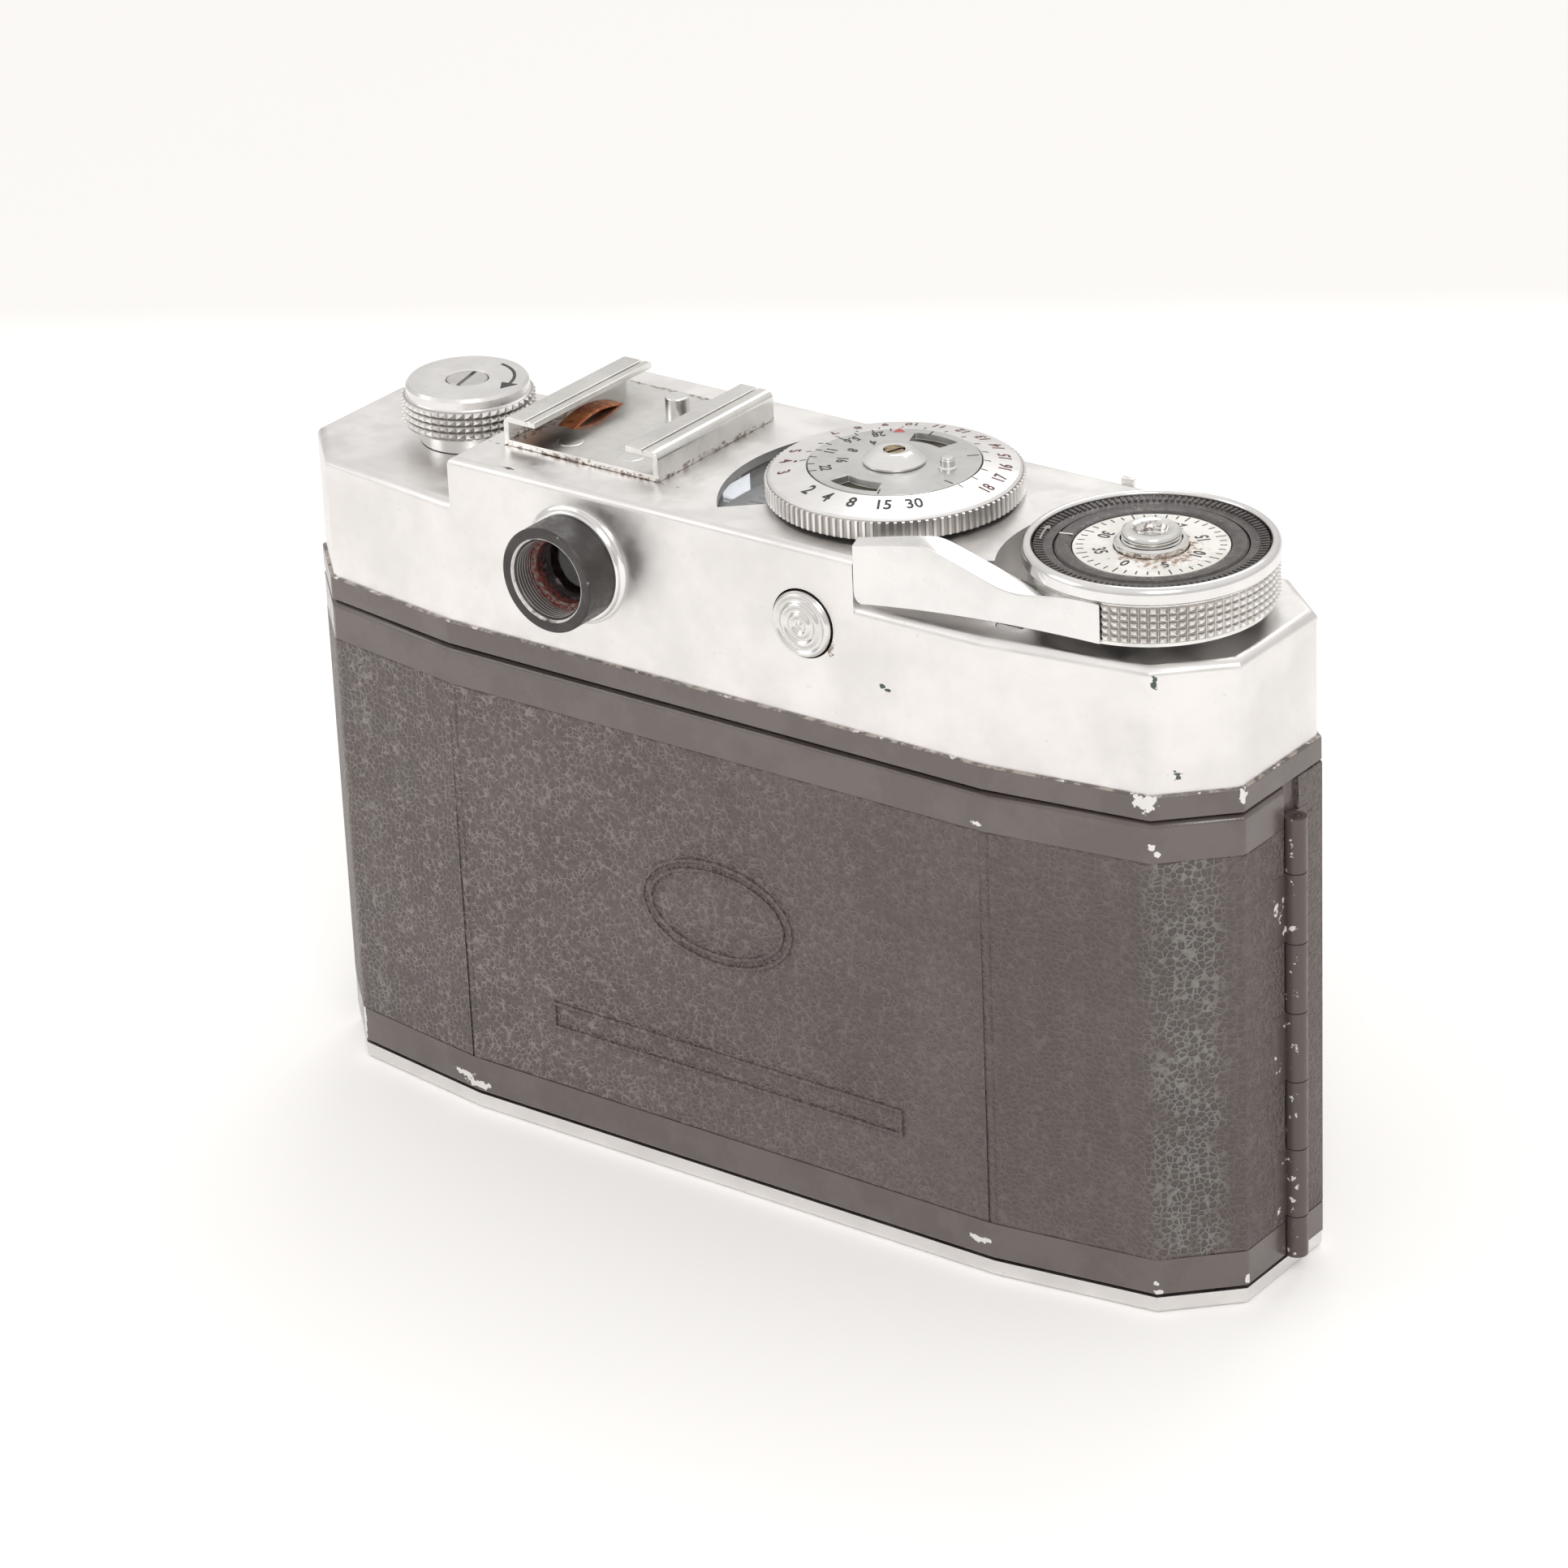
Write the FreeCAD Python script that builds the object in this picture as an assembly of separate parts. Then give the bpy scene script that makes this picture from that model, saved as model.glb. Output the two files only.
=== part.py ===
import FreeCAD, Part
import math
import os

V = FreeCAD.Vector

# A 35 mm camera of the 1950s, seen from behind in its own frame:
# +X right (hinge and advance lever), +Y forward (lens), +Z up, in millimetres.
# The origin is the mouth of the tripod bush in the middle of the base.

# ---- body outline in plan -------------------------------------------------
HALF_LENGTH = 62.0
END_HALF = 7.55          # half width of the flat end face
CORNER_X = 54.9          # where the end chamfer meets the long side
CORNER_REAR = 14.5
CORNER_FRONT = 13.6
BEND_X = 35.8            # where the tapered side meets the flat middle
REAR = 17.25
FRONT = 15.6

# ---- levels ---------------------------------------------------------------
BASE_TOP = 2.0
DOOR_LOW = 2.3
DOOR_HIGH = 58.1
RIM_LOW = 58.4
RIM_HIGH = 61.2
END_DECK = 75.5
MAIN_DECK = 80.8
STEP_X = -34.6           # left end of the raised main deck
FLOOR = 4.5              # film chamber floor
CEILING = 57.5           # film chamber ceiling

# ---- walls and gaps -------------------------------------------------------
DOOR_WALL = 1.3
LEATHER = 0.5
CASTING_GAP = 0.3
COVER_INSET = 0.4
COVER_WALL = 1.0
SPLIT = 1.0              # the body is the full outline in front of this y
DOOR_EDGE = 0.6          # the door ends at this y
RUN = 0.08               # radial clearance of a running fit

# ---- places of the controls (x, y) ---------------------------------------
REWIND = (-44.7, -0.6)
METER = (13.7, -0.3)
LEVER = (46.8, -1.2)
SHOE = (-20.8, -0.2)
SPROCKET = (27.6, -6.0)
TAKEUP = (44.5, -0.6)
HINGE = (62.6, 1.3)
RANGE_PIVOT = (-0.3, 3.6)
EYE_X, EYE_Z = -17.2, 72.0
BUTTON_X, BUTTON_Z = 13.1, 72.0
LENS_Z = 31.0            # height of the lens axis, which is at x = 0

# ---- controls -------------------------------------------------------------
RIM_R = 13.5             # polished rim of the advance lever's dial
SKIRT_R = 13.1
SKIRT_LOW, SKIRT_HIGH = 76.9, 81.6
DIAL_TOP = 82.75
RIM_TOP = 83.5
RING_R = 13.95           # milled meter ring
DISC_R = 9.3             # inner meter disc
KNOB_R = 7.55
KNOB_TOP = 82.5
PIN_R = 0.55             # hinge pin
BARREL_R = 1.25          # hinge knuckles
FILM_PLANE = -12.9
GATE_FACE = -12.2
RECESS_R = 16.3          # the deck is cut back this far round the lever dial
BOARD_R = 27.2           # lens board
BUSH_R = 5.5             # tripod bush
BUSH_DEPTH = 8.5
TRIPOD_THREAD_R = 2.6    # core radius of the 1/4 inch tripod thread
CABLE_THREAD_R = 1.6     # mean radius of the cable release's taper thread
HINGE_TOP = 54.7
KNUCKLE = 8.2
FIRST_JOINT = 7.3


def box(x0, x1, y0, y1, z0, z1):
    return Part.makeBox(x1 - x0, y1 - y0, z1 - z0, V(x0, y0, z0))


def cyl(r, z0, z1, at=(0, 0)):
    return Part.makeCylinder(r, z1 - z0, V(at[0], at[1], z0))


def tube(outer, inner, z0, z1, at=(0, 0)):
    return cyl(outer, z0, z1, at).cut(cyl(inner, z0 - 1, z1 + 1, at))


def rod(r, y0, y1, x, z):
    """A cylinder along Y."""
    return Part.makeCylinder(r, y1 - y0, V(x, y0, z), V(0, 1, 0))


def collar(outer, inner, y0, y1, x, z):
    """A tube along Y."""
    return rod(outer, y0, y1, x, z).cut(rod(inner, y0 - 1, y1 + 1, x, z))


def turned(profile, at):
    """Revolve (r, z) points about the vertical through at."""
    pts = [V(at[0] + r, at[1], z) for r, z in profile]
    face = Part.Face(Part.makePolygon(pts + [pts[0]]))
    return face.revolve(V(at[0], at[1], 0), V(0, 0, 1), 360)


def turned_y(profile, x, z):
    """Revolve (r, y) points about the Y line through (x, z)."""
    pts = [V(x + r, y, z) for r, y in profile]
    face = Part.Face(Part.makePolygon(pts + [pts[0]]))
    return face.revolve(V(x, 0, z), V(0, 1, 0), 360)


def plan_face(inset=0.0):
    """The body's outline as a face at z = 0, moved inwards by inset."""
    rear = [(HALF_LENGTH, -END_HALF), (CORNER_X, -CORNER_REAR), (BEND_X, -REAR)]
    front = [(BEND_X, FRONT), (CORNER_X, CORNER_FRONT), (HALF_LENGTH, END_HALF)]
    ring = rear + [(-x, y) for x, y in reversed(rear)]
    ring += [(-x, y) for x, y in reversed(front)] + front
    pts = [V(x, y, 0) for x, y in ring]
    face = Part.Face(Part.makePolygon(pts + [pts[0]]))
    return face.makeOffset2D(-inset) if inset else face


def prism(inset, z0, z1):
    face = plan_face(inset)
    face.translate(V(0, 0, z0))
    return face.extrude(V(0, 0, z1 - z0))


def front_part(shape):
    return shape.common(box(-99, 99, SPLIT, 99, -9, 99))


def rear_part(shape):
    return shape.common(box(-99, 99, -99, DOOR_EDGE, -9, 99))


def top_edges(shape, z):
    """Edges of shape that lie wholly at height z."""
    def flat(edge):
        bb = edge.BoundBox
        return abs(bb.ZMin - z) < 1e-4 and abs(bb.ZMax - z) < 1e-4
    return [e for e in shape.Edges if flat(e)]


def save(name, shape):
    shape = shape.removeSplitter() if shape.ShapeType != "Compound" else shape
    if not shape.isValid() or not shape.Solids:
        raise ValueError(name + " is not a valid solid")
    print(name, len(shape.Solids), "solid(s), volume", round(shape.Volume, 1))
    shape.exportStep("parts/" + name + ".step")


# ---------------------------------------------------------------------------
# body casting and the pieces fixed to it
# ---------------------------------------------------------------------------
def hinge_spans(parity):
    """Height ranges of the knuckles, bottom to top, of one hinge leaf."""
    joints = [FIRST_JOINT + KNUCKLE * i for i in range(6)]
    marks = [DOOR_LOW] + joints + [HINGE_TOP]
    spans = list(zip(marks[:-1], marks[1:]))
    return spans[parity::2]


def hinge_tab(z0, z1, side):
    """The flat of a knuckle: side -1 reaches into the door, +1 into the body."""
    near, far = HINGE[1] + side * 0.3, HINGE[1] + side * 3.3
    return box(61.3, 62.0, min(near, far), max(near, far), z0, z1)


def hinge_body_leaf():
    return hinge_leaf(0, 1)


def hinge_door_leaf():
    return hinge_leaf(1, -1)


def hinge_leaf(parity, side):
    solids = []
    for z0, z1 in hinge_spans(parity):
        ring = tube(BARREL_R, PIN_R + RUN, z0 + 0.05, z1 - 0.05, HINGE)
        tab = hinge_tab(z0 + 0.05, z1 - 0.05, side)
        hole = cyl(PIN_R + RUN, z0, z1, HINGE)
        solids.append(ring.fuse(tab).cut(hole).removeSplitter())
    return Part.makeCompound(solids)


def tab_pockets(parity, side):
    return [hinge_tab(z0, z1, side) for z0, z1 in hinge_spans(parity)]


def chamber(at, r):
    """A film chamber: round at the front, open to the rear."""
    bore = cyl(r, FLOOR, CEILING, at)
    mouth = box(at[0] - r, at[0] + r, -30, at[1], FLOOR, CEILING)
    return bore.fuse(mouth)


def light_cone():
    def frame(y, half_w, half_h):
        pts = [V(-half_w, y, LENS_Z - half_h), V(half_w, y, LENS_Z - half_h),
               V(half_w, y, LENS_Z + half_h), V(-half_w, y, LENS_Z + half_h)]
        return Part.makePolygon(pts + [pts[0]])
    cone = Part.makeLoft([frame(-13.0, 18.3, 12.3), frame(8.0, 11.5, 10.0)], True)
    return cone.fuse(rod(13.0, 7.9, FRONT + 1, 0, LENS_Z))


def body_casting():
    solid = prism(DOOR_WALL + CASTING_GAP, BASE_TOP, RIM_LOW)
    solid = solid.fuse(front_part(prism(LEATHER, BASE_TOP, RIM_LOW)))
    solid = solid.fuse(prism(0.0, RIM_LOW, RIM_HIGH))
    solid = solid.fuse(front_part(prism(0.0, BASE_TOP, 5.5)))
    solid = solid.fuse(cyl(2.4, RIM_HIGH - 1, 66.0, RANGE_PIVOT))
    cuts = [chamber(REWIND, 13.0), chamber(TAKEUP, 12.5), chamber(SPROCKET, 7.6)]
    cuts.append(box(-57.5, 57.5, -30, GATE_FACE, FLOOR, CEILING))
    cuts.append(light_cone())
    cuts.append(cyl(BUSH_R, 0, BUSH_DEPTH))
    cuts.append(cyl(1.3 + RUN, 62.3, 70, RANGE_PIVOT))
    cuts.append(cyl(4.2, CEILING - 1, 70, REWIND))
    cuts.append(cyl(2.5 + RUN, CEILING - 1, 70, SPROCKET))
    cuts.append(cyl(3.0 + RUN, CEILING - 1, 70, TAKEUP))
    cuts.append(cyl(BARREL_R + 0.2, 0, RIM_LOW, HINGE))
    cuts += tab_pockets(0, 1)
    cuts.append(LATCH_SLOT)
    for x, y in BASE_SCREWS:
        cuts.append(cyl(1.0, 0, 4.2, (x, y)))
    for x, y in SPINDLES:
        cuts.append(cyl(1.5 + RUN, 2.5, FLOOR + 1, (x, y)))
    return solid.cut(cuts)


LATCH_SLOT = box(-70, -58.2, 3.0, 5.0, 27.7, 40.3)
BASE_SCREWS = [(-52.0, -5.0), (52.0, -5.0), (-28.0, 9.0), (28.0, 9.0)]
SPINDLES = [SPROCKET, TAKEUP]


def front_leather():
    """Two panels, one each side of the lens board, that wrap the front corners."""
    skin = front_part(prism(0.0, 5.5, RIM_LOW - 0.1)).cut(prism(LEATHER, 0, 70))
    skin = skin.cut([rod(BOARD_R, 0, 30, 0, LENS_Z), box(-12, 12, 0, 30, 0, 70)])
    right = skin.common(box(0, 99, HINGE[1] + BARREL_R + 0.3, 99, 0, 70))
    right = right.cut(tab_pockets(0, 1))
    left = skin.common(box(-99, 0, SPLIT + 0.1, 99, 0, 70)).cut(LATCH_SLOT)
    return Part.makeCompound([left, right])


def film_gate():
    plate = box(-19.4, 19.4, FILM_PLANE + 0.25, GATE_FACE, LENS_Z - 17, LENS_Z + 17)
    for z in (-15.5, 13.0):
        plate = plate.fuse(box(-19.4, 19.4, FILM_PLANE, GATE_FACE, LENS_Z + z, LENS_Z + z + 2.5))
    return plate.cut(box(-18, 18, -20, 0, LENS_Z - 12, LENS_Z + 12))


def base_plate():
    plate = prism(0.1, 0, BASE_TOP)
    plate = plate.makeFillet(0.7, top_edges(plate, 0))
    cuts = [cyl(BUSH_R, -1, 3)]
    for x, y in BASE_SCREWS:
        cuts.append(cyl(1.9, -1, 0.9, (x, y)))
        cuts.append(cyl(1.0, -1, 3, (x, y)))
    return plate.cut(cuts)


def tripod_bush():
    return tube(BUSH_R, TRIPOD_THREAD_R, 0, BUSH_DEPTH)


def slotted_screw(at, z_head, r_head, h_head, r_shank, length, up):
    """A cheese-head screw; up is +1 when its head faces up, -1 when down."""
    if up > 0:
        head = cyl(r_head, z_head - h_head, z_head, at)
        shank = cyl(r_shank, z_head - length, z_head - h_head, at)
        slot = box(at[0] - r_head, at[0] + r_head, at[1] - 0.2, at[1] + 0.2,
                   z_head - 0.35, z_head + 1)
    else:
        head = cyl(r_head, z_head, z_head + h_head, at)
        shank = cyl(r_shank, z_head + h_head, z_head + length, at)
        slot = box(at[0] - r_head, at[0] + r_head, at[1] - 0.2, at[1] + 0.2,
                   z_head - 1, z_head + 0.35)
    return head.fuse(shank).cut(slot)


# ---------------------------------------------------------------------------
# top cover
# ---------------------------------------------------------------------------
WEDGE = [(19.8, -15.8), (33.2, -9.2)]   # recess wall beside the lever arm
DECK_SCREWS = [(36.6, -12.2), (-52.5, 6.5)]
WINDOW_OUT, WINDOW_IN = 19.1, 12.2      # meter window radii about the meter
WINDOW_FROM, WINDOW_TO = 157.0, 221.0   # and its angles
FINDER = (-24.0, -10.4, 67.0, 76.6)     # x0, x1, z0, z1 of the front windows
RANGE = (-3.4, 2.8, 68.6, 75.0)
CELL = (8.0, 31.0, 65.4, 78.4)


def flat_polygon(points, z):
    pts = [V(x, y, z) for x, y in points]
    return Part.Face(Part.makePolygon(pts + [pts[0]]))


def lever_recess(grow):
    """Plan area that the raised deck leaves free round the lever."""
    (ax, ay), (bx, by) = WEDGE
    wedge = flat_polygon([(ax - grow, -30), (ax - grow, ay + grow), (bx, by + grow),
                          (LEVER[0], LEVER[1]), (75, -30)], 0).extrude(V(0, 0, 99))
    right = box(LEVER[0], 99, -40, 40, 0, 99)
    return cyl(RECESS_R + grow, 0, 99, LEVER).fuse([wedge, right])


def sector(r0, r1, a0, a1, z0, z1, at):
    """A ring sector in plan, with angles in degrees."""
    start = V(math.cos(math.radians(a0)), math.sin(math.radians(a0)), 0)
    base = V(at[0], at[1], 0)
    pts = [base + start * r0 + V(0, 0, z0), base + start * r1 + V(0, 0, z0),
           base + start * r1 + V(0, 0, z1), base + start * r0 + V(0, 0, z1)]
    face = Part.Face(Part.makePolygon(pts + [pts[0]]))
    return face.revolve(base, V(0, 0, 1), a1 - a0)


def rect_y(rect, y0, y1, grow=0.0):
    x0, x1, z0, z1 = rect
    return box(x0 - grow, x1 + grow, y0, y1, z0 - grow, z1 + grow)


def top_cover():
    low = prism(COVER_INSET, RIM_HIGH, END_DECK)
    low = low.makeFillet(1.1, top_edges(low, END_DECK))
    high = prism(COVER_INSET, RIM_HIGH, MAIN_DECK)
    high = high.common(box(STEP_X, 99, -99, 99, 0, 99))
    high = high.makeFillet(0.9, top_edges(high, MAIN_DECK)).cut(lever_recess(0))
    inner = prism(COVER_INSET + COVER_WALL, RIM_HIGH - 1, END_DECK - COVER_WALL)
    tall = prism(COVER_INSET + COVER_WALL, RIM_HIGH - 1, MAIN_DECK - COVER_WALL)
    tall = tall.common(box(STEP_X + COVER_WALL, 99, -99, 99, 0, 99))
    tall = tall.cut(lever_recess(COVER_WALL))
    cover = low.fuse(high).removeSplitter().cut([inner, tall])
    cuts = [cyl(4.15, 60, 99, REWIND), cyl(5.3, 60, 99, LEVER), cyl(2.0, 60, 99, METER)]
    cuts.append(sector(WINDOW_IN, WINDOW_OUT, WINDOW_FROM, WINDOW_TO, 79, 82, METER))
    cuts.append(rod(4.8, -30, 0, EYE_X, EYE_Z))
    cuts.append(rod(3.95, -30, 0, BUTTON_X, BUTTON_Z))
    for rect in (FINDER, RANGE, CELL):
        cuts.append(rect_y(rect, 5, 30))
    for at in DECK_SCREWS:
        cuts.append(cyl(1.65, END_DECK - 0.6, 99, at))
        cuts.append(cyl(0.9, 60, 99, at))
    return cover.cut(cuts)


def slotted_screws():
    base = [slotted_screw(at, 0.1, 1.8, 0.8, 0.95, 4.0, -1) for at in BASE_SCREWS]
    deck = [slotted_screw(at, END_DECK - 0.05, 1.6, 0.55, 0.85, 2.5, 1) for at in DECK_SCREWS]
    return Part.makeCompound(base + deck)


SHOE_W, SHOE_D = 21.2, 21.0
SHOE_TOP = MAIN_DECK + 3.4
SHOE_GAP = 12.4
SHOE_SLOT = 18.7
SHOE_SHEET = 0.7
SHOE_POST = (-19.3, 4.8)
SHOE_RIVETS = [(-24.6, -7.6), (-16.2, -7.6)]


def accessory_shoe():
    x, y = SHOE
    block = box(x - SHOE_W / 2, x + SHOE_W / 2, y - SHOE_D / 2, y + SHOE_D / 2,
                MAIN_DECK, SHOE_TOP)
    long_edges = [e for e in top_edges(block, SHOE_TOP)
                  if e.BoundBox.YLength > SHOE_D - 1]
    block = block.makeFillet(0.5, long_edges)
    slot = box(x - SHOE_SLOT / 2, x + SHOE_SLOT / 2, -30, 30,
               MAIN_DECK + SHOE_SHEET, SHOE_TOP - SHOE_SHEET)
    gap = box(x - SHOE_GAP / 2, x + SHOE_GAP / 2, -30, 30, MAIN_DECK + SHOE_SHEET, 99)
    well = box(-28.9, -26.2, -6.0, 5.6, MAIN_DECK - 1, MAIN_DECK + SHOE_SHEET + 0.1)
    cuts = [slot, gap, well, cyl(1.35, 70, 99, SHOE_POST)]
    cuts += [cyl(1.55, 70, 99, at) for at in SHOE_RIVETS]
    return block.cut(cuts)


def shoe_spring():
    """A bowed leaf that lies in the shoe's well and stands up in the middle."""
    low, high = MAIN_DECK + 0.05, MAIN_DECK + 1.25
    ends = [(-5.8, low), (-2.6, low + 0.2), (-0.2, high), (2.2, low + 0.2), (5.4, low)]
    upper = [V(-28.7, y, z + 0.3) for y, z in ends]
    lower = [V(-28.7, y, z) for y, z in reversed(ends)]
    face = Part.Face(Part.makePolygon(upper + lower + [upper[0]]))
    return face.extrude(V(2.3, 0, 0))


def shoe_rivets():
    """Two flat rivets and the stop post that stands up between the rails."""
    post = cyl(1.35, MAIN_DECK, MAIN_DECK + 2.9, SHOE_POST)
    flat = [cyl(1.55, MAIN_DECK, MAIN_DECK + 0.75, at) for at in SHOE_RIVETS]
    return Part.makeCompound(flat + [post])


# ---------------------------------------------------------------------------
# viewfinder and rangefinder
# ---------------------------------------------------------------------------
COVER_REAR = -(REAR - COVER_INSET)
COVER_FRONT = FRONT - COVER_INSET
EYE_FACE = -22.2


def eyepiece_flange():
    return collar(6.4, 4.8, COVER_REAR - 1.0, COVER_REAR, EYE_X, EYE_Z)


def eyepiece_ring():
    y0, y1 = EYE_FACE, COVER_REAR - 1.0
    profile = [(4.75, y0), (5.8, y0), (6.0, y0 + 0.2), (6.0, y1), (4.75, y1),
               (4.75, -14.0), (3.7, -14.0), (3.7, -19.4), (4.35, -19.4), (4.35, y0 + 0.5)]
    return turned_y(profile, EYE_X, EYE_Z)


def eyepiece_lens():
    return rod(3.7, -18.2, -16.4, EYE_X, EYE_Z)


def finder_windows():
    return Part.makeCompound([rect_y(rect, COVER_FRONT - 0.7, COVER_FRONT)
                              for rect in (FINDER, RANGE)])


def window_bezels():
    """Bright frames: one round the two finder windows, one round the meter cell."""
    x0, z0, z1 = FINDER[0], FINDER[2], FINDER[3]
    plate = rect_y((x0, RANGE[1], z0, z1), COVER_FRONT, COVER_FRONT + 0.5, 1.2)
    plate = plate.cut([rect_y(FINDER, 0, 30), rect_y(RANGE, 0, 30)])
    frame = rect_y(CELL, COVER_FRONT, COVER_FRONT + 0.7, 1.3).cut(rect_y(CELL, 0, 30))
    return Part.makeCompound([plate, frame])


def finder_tube():
    """The sheet box that carries the finder glasses inside the cover."""
    x0, x1 = EYE_X - 6.6, EYE_X + 6.6
    shell = box(x0, x1, -13.0, 13.0, 66.4, 78.4)
    shell = shell.cut(box(x0 + 0.8, x1 - 0.8, -20, 20, 67.2, 77.6))
    return shell.cut(box(EYE_X, x1 + 1, 1.0, 7.0, 68.5, 75.5))


def beam_splitter():
    """A thin half mirror set at 45 degrees in the finder tube."""
    plate = box(-3.8, 3.8, -0.5, 0.5, 67.4, 75.4)
    plate.rotate(V(0, 0, 0), V(0, 0, 1), -45)
    plate.translate(V(EYE_X, 4.0, 0))
    return plate


def range_mirror():
    mirror = box(-3.0, 3.0, -0.5, 0.5, 68.6, 75.0)
    mirror.rotate(V(0, 0, 0), V(0, 0, 1), -45)
    mirror.translate(V(RANGE_PIVOT[0], RANGE_PIVOT[1], 0))
    return mirror.fuse(cyl(1.3, 62.4, 68.6, RANGE_PIVOT))


# ---------------------------------------------------------------------------
# exposure meter
# ---------------------------------------------------------------------------
def meter_cell_window():
    """Moulded glass with rows of small lenses on its face."""
    x0, x1, z0, z1 = CELL
    glass = rect_y(CELL, COVER_FRONT - 0.8, COVER_FRONT + 0.2)
    rows, columns = 4, 7
    beads = []
    for i in range(rows):
        for j in range(columns):
            x = x0 + (x1 - x0) * (j + 0.5) / columns
            z = z0 + (z1 - z0) * (i + 0.5) / rows
            beads.append(Part.makeCone(1.45, 0.8, 0.6, V(x, COVER_FRONT + 0.2, z), V(0, 1, 0)))
    return glass.fuse(beads)


def meter_cell():
    x0, x1, z0, z1 = CELL
    return box(x0 - 0.6, x1 + 0.6, COVER_FRONT - 2.6, COVER_FRONT - 1.2, z0 + 0.2, z1 - 0.2)


def meter_movement():
    drum = cyl(8.0, 62.0, 73.5, METER)
    magnet = tube(10.5, 8.0, 63.5, 70.5, METER)
    return drum.fuse([magnet, cyl(3.0, RIM_HIGH, 62.0, METER)]).cut(cyl(0.5, 70, 80, METER))


def meter_scale():
    plate = sector(8.5, 20.6, WINDOW_FROM - 8, WINDOW_TO + 8, 75.6, 76.1, METER)
    foot = sector(8.0, 9.5, WINDOW_FROM, WINDOW_TO, 70.5, 75.6, METER)
    return plate.fuse(foot)


def meter_glass():
    return sector(WINDOW_IN - 1, WINDOW_OUT + 0.9, WINDOW_FROM - 3, WINDOW_TO + 3,
                  79.2, MAIN_DECK - COVER_WALL, METER)


def meter_needle():
    staff = cyl(0.42, 70.2, 78.2, METER)
    hub = cyl(1.2, 77.2, 77.8, METER)
    pointer = box(METER[0] - 17.6, METER[0], METER[1] - 0.2, METER[1] + 0.2, 77.35, 77.6)
    tail = box(METER[0], METER[0] + 4.0, METER[1] - 0.4, METER[1] + 0.4, 77.35, 77.6)
    return staff.fuse([hub, pointer, tail])


def meter_post():
    post = cyl(2.0, 79.0, 84.8, METER)
    boss = turned([(0, 84.8), (3.4, 84.8), (3.4, 85.1), (2.3, 86.0), (0, 86.0)], METER)
    slot = box(METER[0] - 1.2, METER[0] + 1.2, METER[1] - 0.25, METER[1] + 0.25, 85.4, 87)
    return post.fuse([boss, cyl(3.0, 78.4, 79.8, METER)]).cut(slot)


def meter_ring():
    profile = [(DISC_R + 0.1, 82.4), (DISC_R + 0.1, 84.65), (RING_R - 0.5, 83.8),
               (RING_R, 83.5), (RING_R, 81.4), (RING_R - 0.3, 81.2), (2.0 + RUN, 81.2),
               (2.0 + RUN, 82.4)]
    return turned(profile, METER)


def meter_disc():
    disc = tube(DISC_R, 2.0 + RUN, 82.6, 84.7, METER)
    cuts = [sector(5.9, 8.3, 250, 292, 83.9, 86, METER),
            sector(5.9, 8.3, 71, 110, 83.9, 86, METER)]
    pin = cyl(0.75, 84.0, 85.9, (METER[0] + 5.9, METER[1] + 1.4))
    return disc.cut(cuts).fuse(pin)


# ---------------------------------------------------------------------------
# advance lever, counter and release
# ---------------------------------------------------------------------------
TIP_NEAR = [(21.4, -18.9), (29.0, -16.1), (38.0, -14.7), (46.0, -14.28)]
TIP_FAR = [(20.6, -16.7), (28.2, -13.7), (36.5, -12.2)]


def lever_arm():
    """A strip standing on edge, flared outwards at the thumb end."""
    near = Part.BSplineCurve()
    near.interpolate([V(x, y, SKIRT_LOW) for x, y in TIP_NEAR])
    far = Part.BSplineCurve()
    far.interpolate([V(x, y, SKIRT_LOW) for x, y in reversed(TIP_FAR)])
    a, b = TIP_NEAR[-1], TIP_FAR[-1]
    c, d = TIP_FAR[0], TIP_NEAR[0]
    edges = [near.toShape(), Part.makeLine(V(a[0], a[1], SKIRT_LOW), V(b[0], b[1], SKIRT_LOW)),
             far.toShape(), Part.makeLine(V(c[0], c[1], SKIRT_LOW), V(d[0], d[1], SKIRT_LOW))]
    arm = Part.Face(Part.Wire(edges)).extrude(V(0, 0, 84.4 - SKIRT_LOW))
    above = [(18, 83.5), (21.4, 83.5), (28.4, 84.3), (38.6, 80.4), (45.0, 81.4), (60, 81.4),
             (60, 90), (18, 90)]
    pts = [V(x, -30, z) for x, z in above]
    trim = Part.Face(Part.makePolygon(pts + [pts[0]])).extrude(V(0, 40, 0))
    return arm.cut(trim)


def advance_lever():
    """Knurled cap, arm, and the tubular shaft that drives the film."""
    skirt = tube(SKIRT_R, SKIRT_R - 1.2, SKIRT_LOW, SKIRT_HIGH, LEVER)
    roof = tube(SKIRT_R, 5.0, SKIRT_HIGH - 0.8, SKIRT_HIGH, LEVER)
    inner = cyl(SKIRT_R - 1.2, 60, SKIRT_HIGH - 0.8, LEVER)
    cap = skirt.fuse([roof, lever_arm()]).cut([inner, cyl(5.0, 60, 99, LEVER)])
    shaft = tube(5.0, 4.0, 62.0, SKIRT_HIGH, LEVER)
    gear = tube(8.0, 4.5, 62.0, 65.0, LEVER)
    return cap.fuse([shaft, gear])


def dial_rim():
    return turned([(12.35, SKIRT_HIGH), (RIM_R, SKIRT_HIGH), (RIM_R, RIM_TOP - 0.5),
                   (RIM_R - 0.5, RIM_TOP), (12.6, RIM_TOP), (12.35, RIM_TOP - 0.5)], LEVER)


def index_ring():
    ring = tube(10.1, 8.35, SKIRT_HIGH, 82.95, LEVER)
    return ring.cut(box(LEVER[0] - 10.5, LEVER[0] - 9.3, LEVER[1] - 0.3, LEVER[1] + 0.3, 82.6, 84))


def reminder_ring():
    return turned([(10.25, 81.7), (12.2, 81.7), (12.2, 83.0), (10.25, 82.8)], LEVER)


def counter_dial():
    disc = tube(8.2, 4.0, 82.0, DIAL_TOP, LEVER)
    return disc.fuse(tube(4.6, 4.0, 81.75, 82.0, LEVER))


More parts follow.
